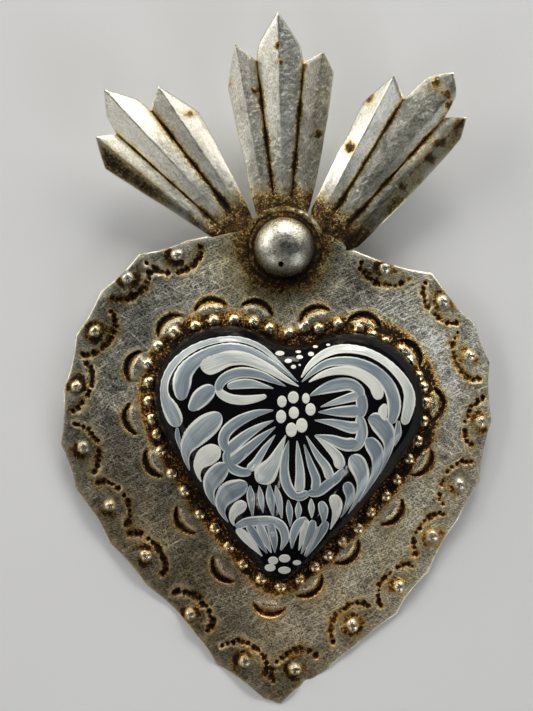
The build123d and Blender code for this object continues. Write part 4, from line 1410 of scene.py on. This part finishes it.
def strip(pixels, lift):
    """One stroke: points, faces and its along, across and lane marks."""
    line = smooth_line(pixels, LINE_SAMPLES) / ENLARGED
    flat = on_heart(line[:, :2] + ENLARGED_FROM)
    half = np.clip(line[:, 2], THINNEST, None) * BRUSH_SPREAD * PIXEL / 2
    run = np.concatenate([[0], np.cumsum(np.hypot(*np.diff(flat, axis=0).T))])
    share = (1 - np.cos(np.linspace(0, math.pi, STROKE_ROWS))) / 2 * run[-1]
    flat = np.stack([np.interp(share, run, flat[:, i]) for i in range(2)], -1)
    half = np.interp(share, run, half)
    for end in (share, run[-1] - share):
        cap_r = np.maximum(half[0] if end is share else half[-1], 0.05)
        half = half * np.sqrt(1 - (1 - np.clip(end / cap_r, 0.02, 1)) ** 2)
    tangent = np.gradient(flat, axis=0)
    tangent = tangent / np.hypot(*tangent.T)[:, None]
    side = np.stack([tangent[:, 1], -tangent[:, 0]], -1)
    spots = flat[:, None] + side[:, None] * half[:, None, None] * LANES[None, :, None]
    spots = spots.reshape(-1, 2)
    wide = len(LANES)
    load = np.clip(half / FULL_LOAD, 0.35, 1)
    swell = np.tile(PAINT * (1 - LANES**6), len(flat)) * np.repeat(load, wide)
    ground = np.stack([spots[:, 0], PLATE_Y - heart_rise(spots), spots[:, 1]], -1)
    points = ground + heart_out(spots) * (PAINT_BED + lift + swell)[:, None]
    rows = np.arange(len(flat) - 1)[:, None] * wide + np.arange(wide - 1)[None]
    rows = rows.ravel()
    faces = np.stack([rows, rows + wide, rows + wide + 1, rows + 1], -1)
    lanes = np.tile(LANES, len(flat))
    return points, faces, np.repeat(share, wide), lanes * np.repeat(half, wide), lanes


def strokes(name, drawn, lift, material):
    """All strokes of one layer as a piece."""
    points = []
    faces = []
    marks = {"along": [], "across": [], "lane": [], "tone": [], "seed": []}
    count = 0
    for i, (tone, pixels) in enumerate(drawn):
        p, f, along, across, lane = strip(np.array(pixels, float), lift + LAYER * (i % LAYERS))
        points.append(p)
        faces.append(f + count)
        count += len(p)
        values = (along, across, lane, np.full(len(p), tone), np.full(len(p), SEED_STEP * i))
        for key, value in zip(marks, values):
            marks[key].append(value)
    marks = {key: np.concatenate(values) for key, values in marks.items()}
    made = piece(name, np.vstack(points), np.vstack(faces), marks, material, crisp=80)


def dab(x, y, wide, high):
    """A round touch of the brush, as a short stroke across."""
    turns = np.linspace(0, math.pi, 9)
    return CREAM, [(x - wide / 2 * math.cos(a), y, high * math.sin(a)) for a in turns]


print("lanes in a stroke:", len(LANES))

# %% Paint finish
paint = finish("brushed_paint")
lane = paint.mark("lane")
across = paint.mark("across")
along = paint.mark("along")
tone = paint.mark("tone")
seed = paint.mark("seed")
hair = paint.node("ShaderNodeCombineXYZ", None, {0: across * 3.2, 1: along * 0.16, 2: seed})
hairs = paint.cloud(hair, 1.0, 4.0, 0.65)
wash_place = paint.node("ShaderNodeCombineXYZ", None, {0: across * 0.6, 1: along * 0.1, 2: seed + 50})
wash = paint.cloud(wash_place, 1.0, 1.0)
rim = paint.ease(paint.node("ShaderNodeMath", {"operation": "ABSOLUTE"}, {0: lane}), 0.6, 0.82)
load = tone + 1.1 * (hairs - 0.5) + 0.6 * (wash - 0.5) + 0.1 * lane + (0.2 + 1.1 * wash) * rim
tint = paint.node("ShaderNodeValToRGB", {"stops": [
    (0.00, (0.22, 0.275, 0.315)),
    (0.25, (0.33, 0.39, 0.43)),
    (0.50, (0.50, 0.56, 0.575)),
    (0.75, (0.78, 0.81, 0.755)),
    (1.00, (0.96, 0.96, 0.87)),
]}, {"Fac": load})
brushed_paint = paint.surface({
    "Base Color": tint,
    "Roughness": 0.10,
    "IOR": 1.45,
    "Normal": paint.bump(0.02 * hairs),
})
print("paint finish made")

# %% Painting
DAB_LIFT = 0.08  # the dabs lie over the strokes
strokes("brush_strokes", STROKES, 0.0, brushed_paint)
strokes("brush_dabs", [dab(*place) for place in DABS], DAB_LIFT, brushed_paint)

# %% [markdown]
# ## Behind the plate
# The strap, the solder runs and the glue bed keep their solid shapes, which are already right. They
# only need finishes: plain tin for the strap, dull solder, and brown glue.

# %% Finishes behind
dull_solder = finish("dull_solder")
here = dull_solder.place()
lumps = dull_solder.cloud(here, 0.7, 4.0)
film = dull_solder.mix(lumps, (0.34, 0.32, 0.29), (0.20, 0.17, 0.13))
solder = dull_solder.surface({
    "Base Color": film,
    "Metallic": 0.9,
    "Roughness": 0.42 + 0.2 * lumps,
    "Normal": dull_solder.bump(0.12 * lumps),
})
glue = finish("brown_glue")
here = glue.place()
cure = glue.cloud(here, 0.4, 3.0)
brown = glue.mix(cure, (0.06, 0.045, 0.03), (0.14, 0.10, 0.06))
brown_glue = glue.surface({
    "Base Color": brown,
    "Roughness": 0.45 + 0.2 * cure,
    "Normal": glue.bump(0.1 * cure),
})
for node, material in (("hanger_strap", strap_tin), ("flame_solder", solder), ("hanger_solder", solder),
                       ("heart_glue_bed", brown_glue)):
    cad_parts[node].data.materials.clear()
    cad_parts[node].data.materials.append(material)
print("finishes behind set")
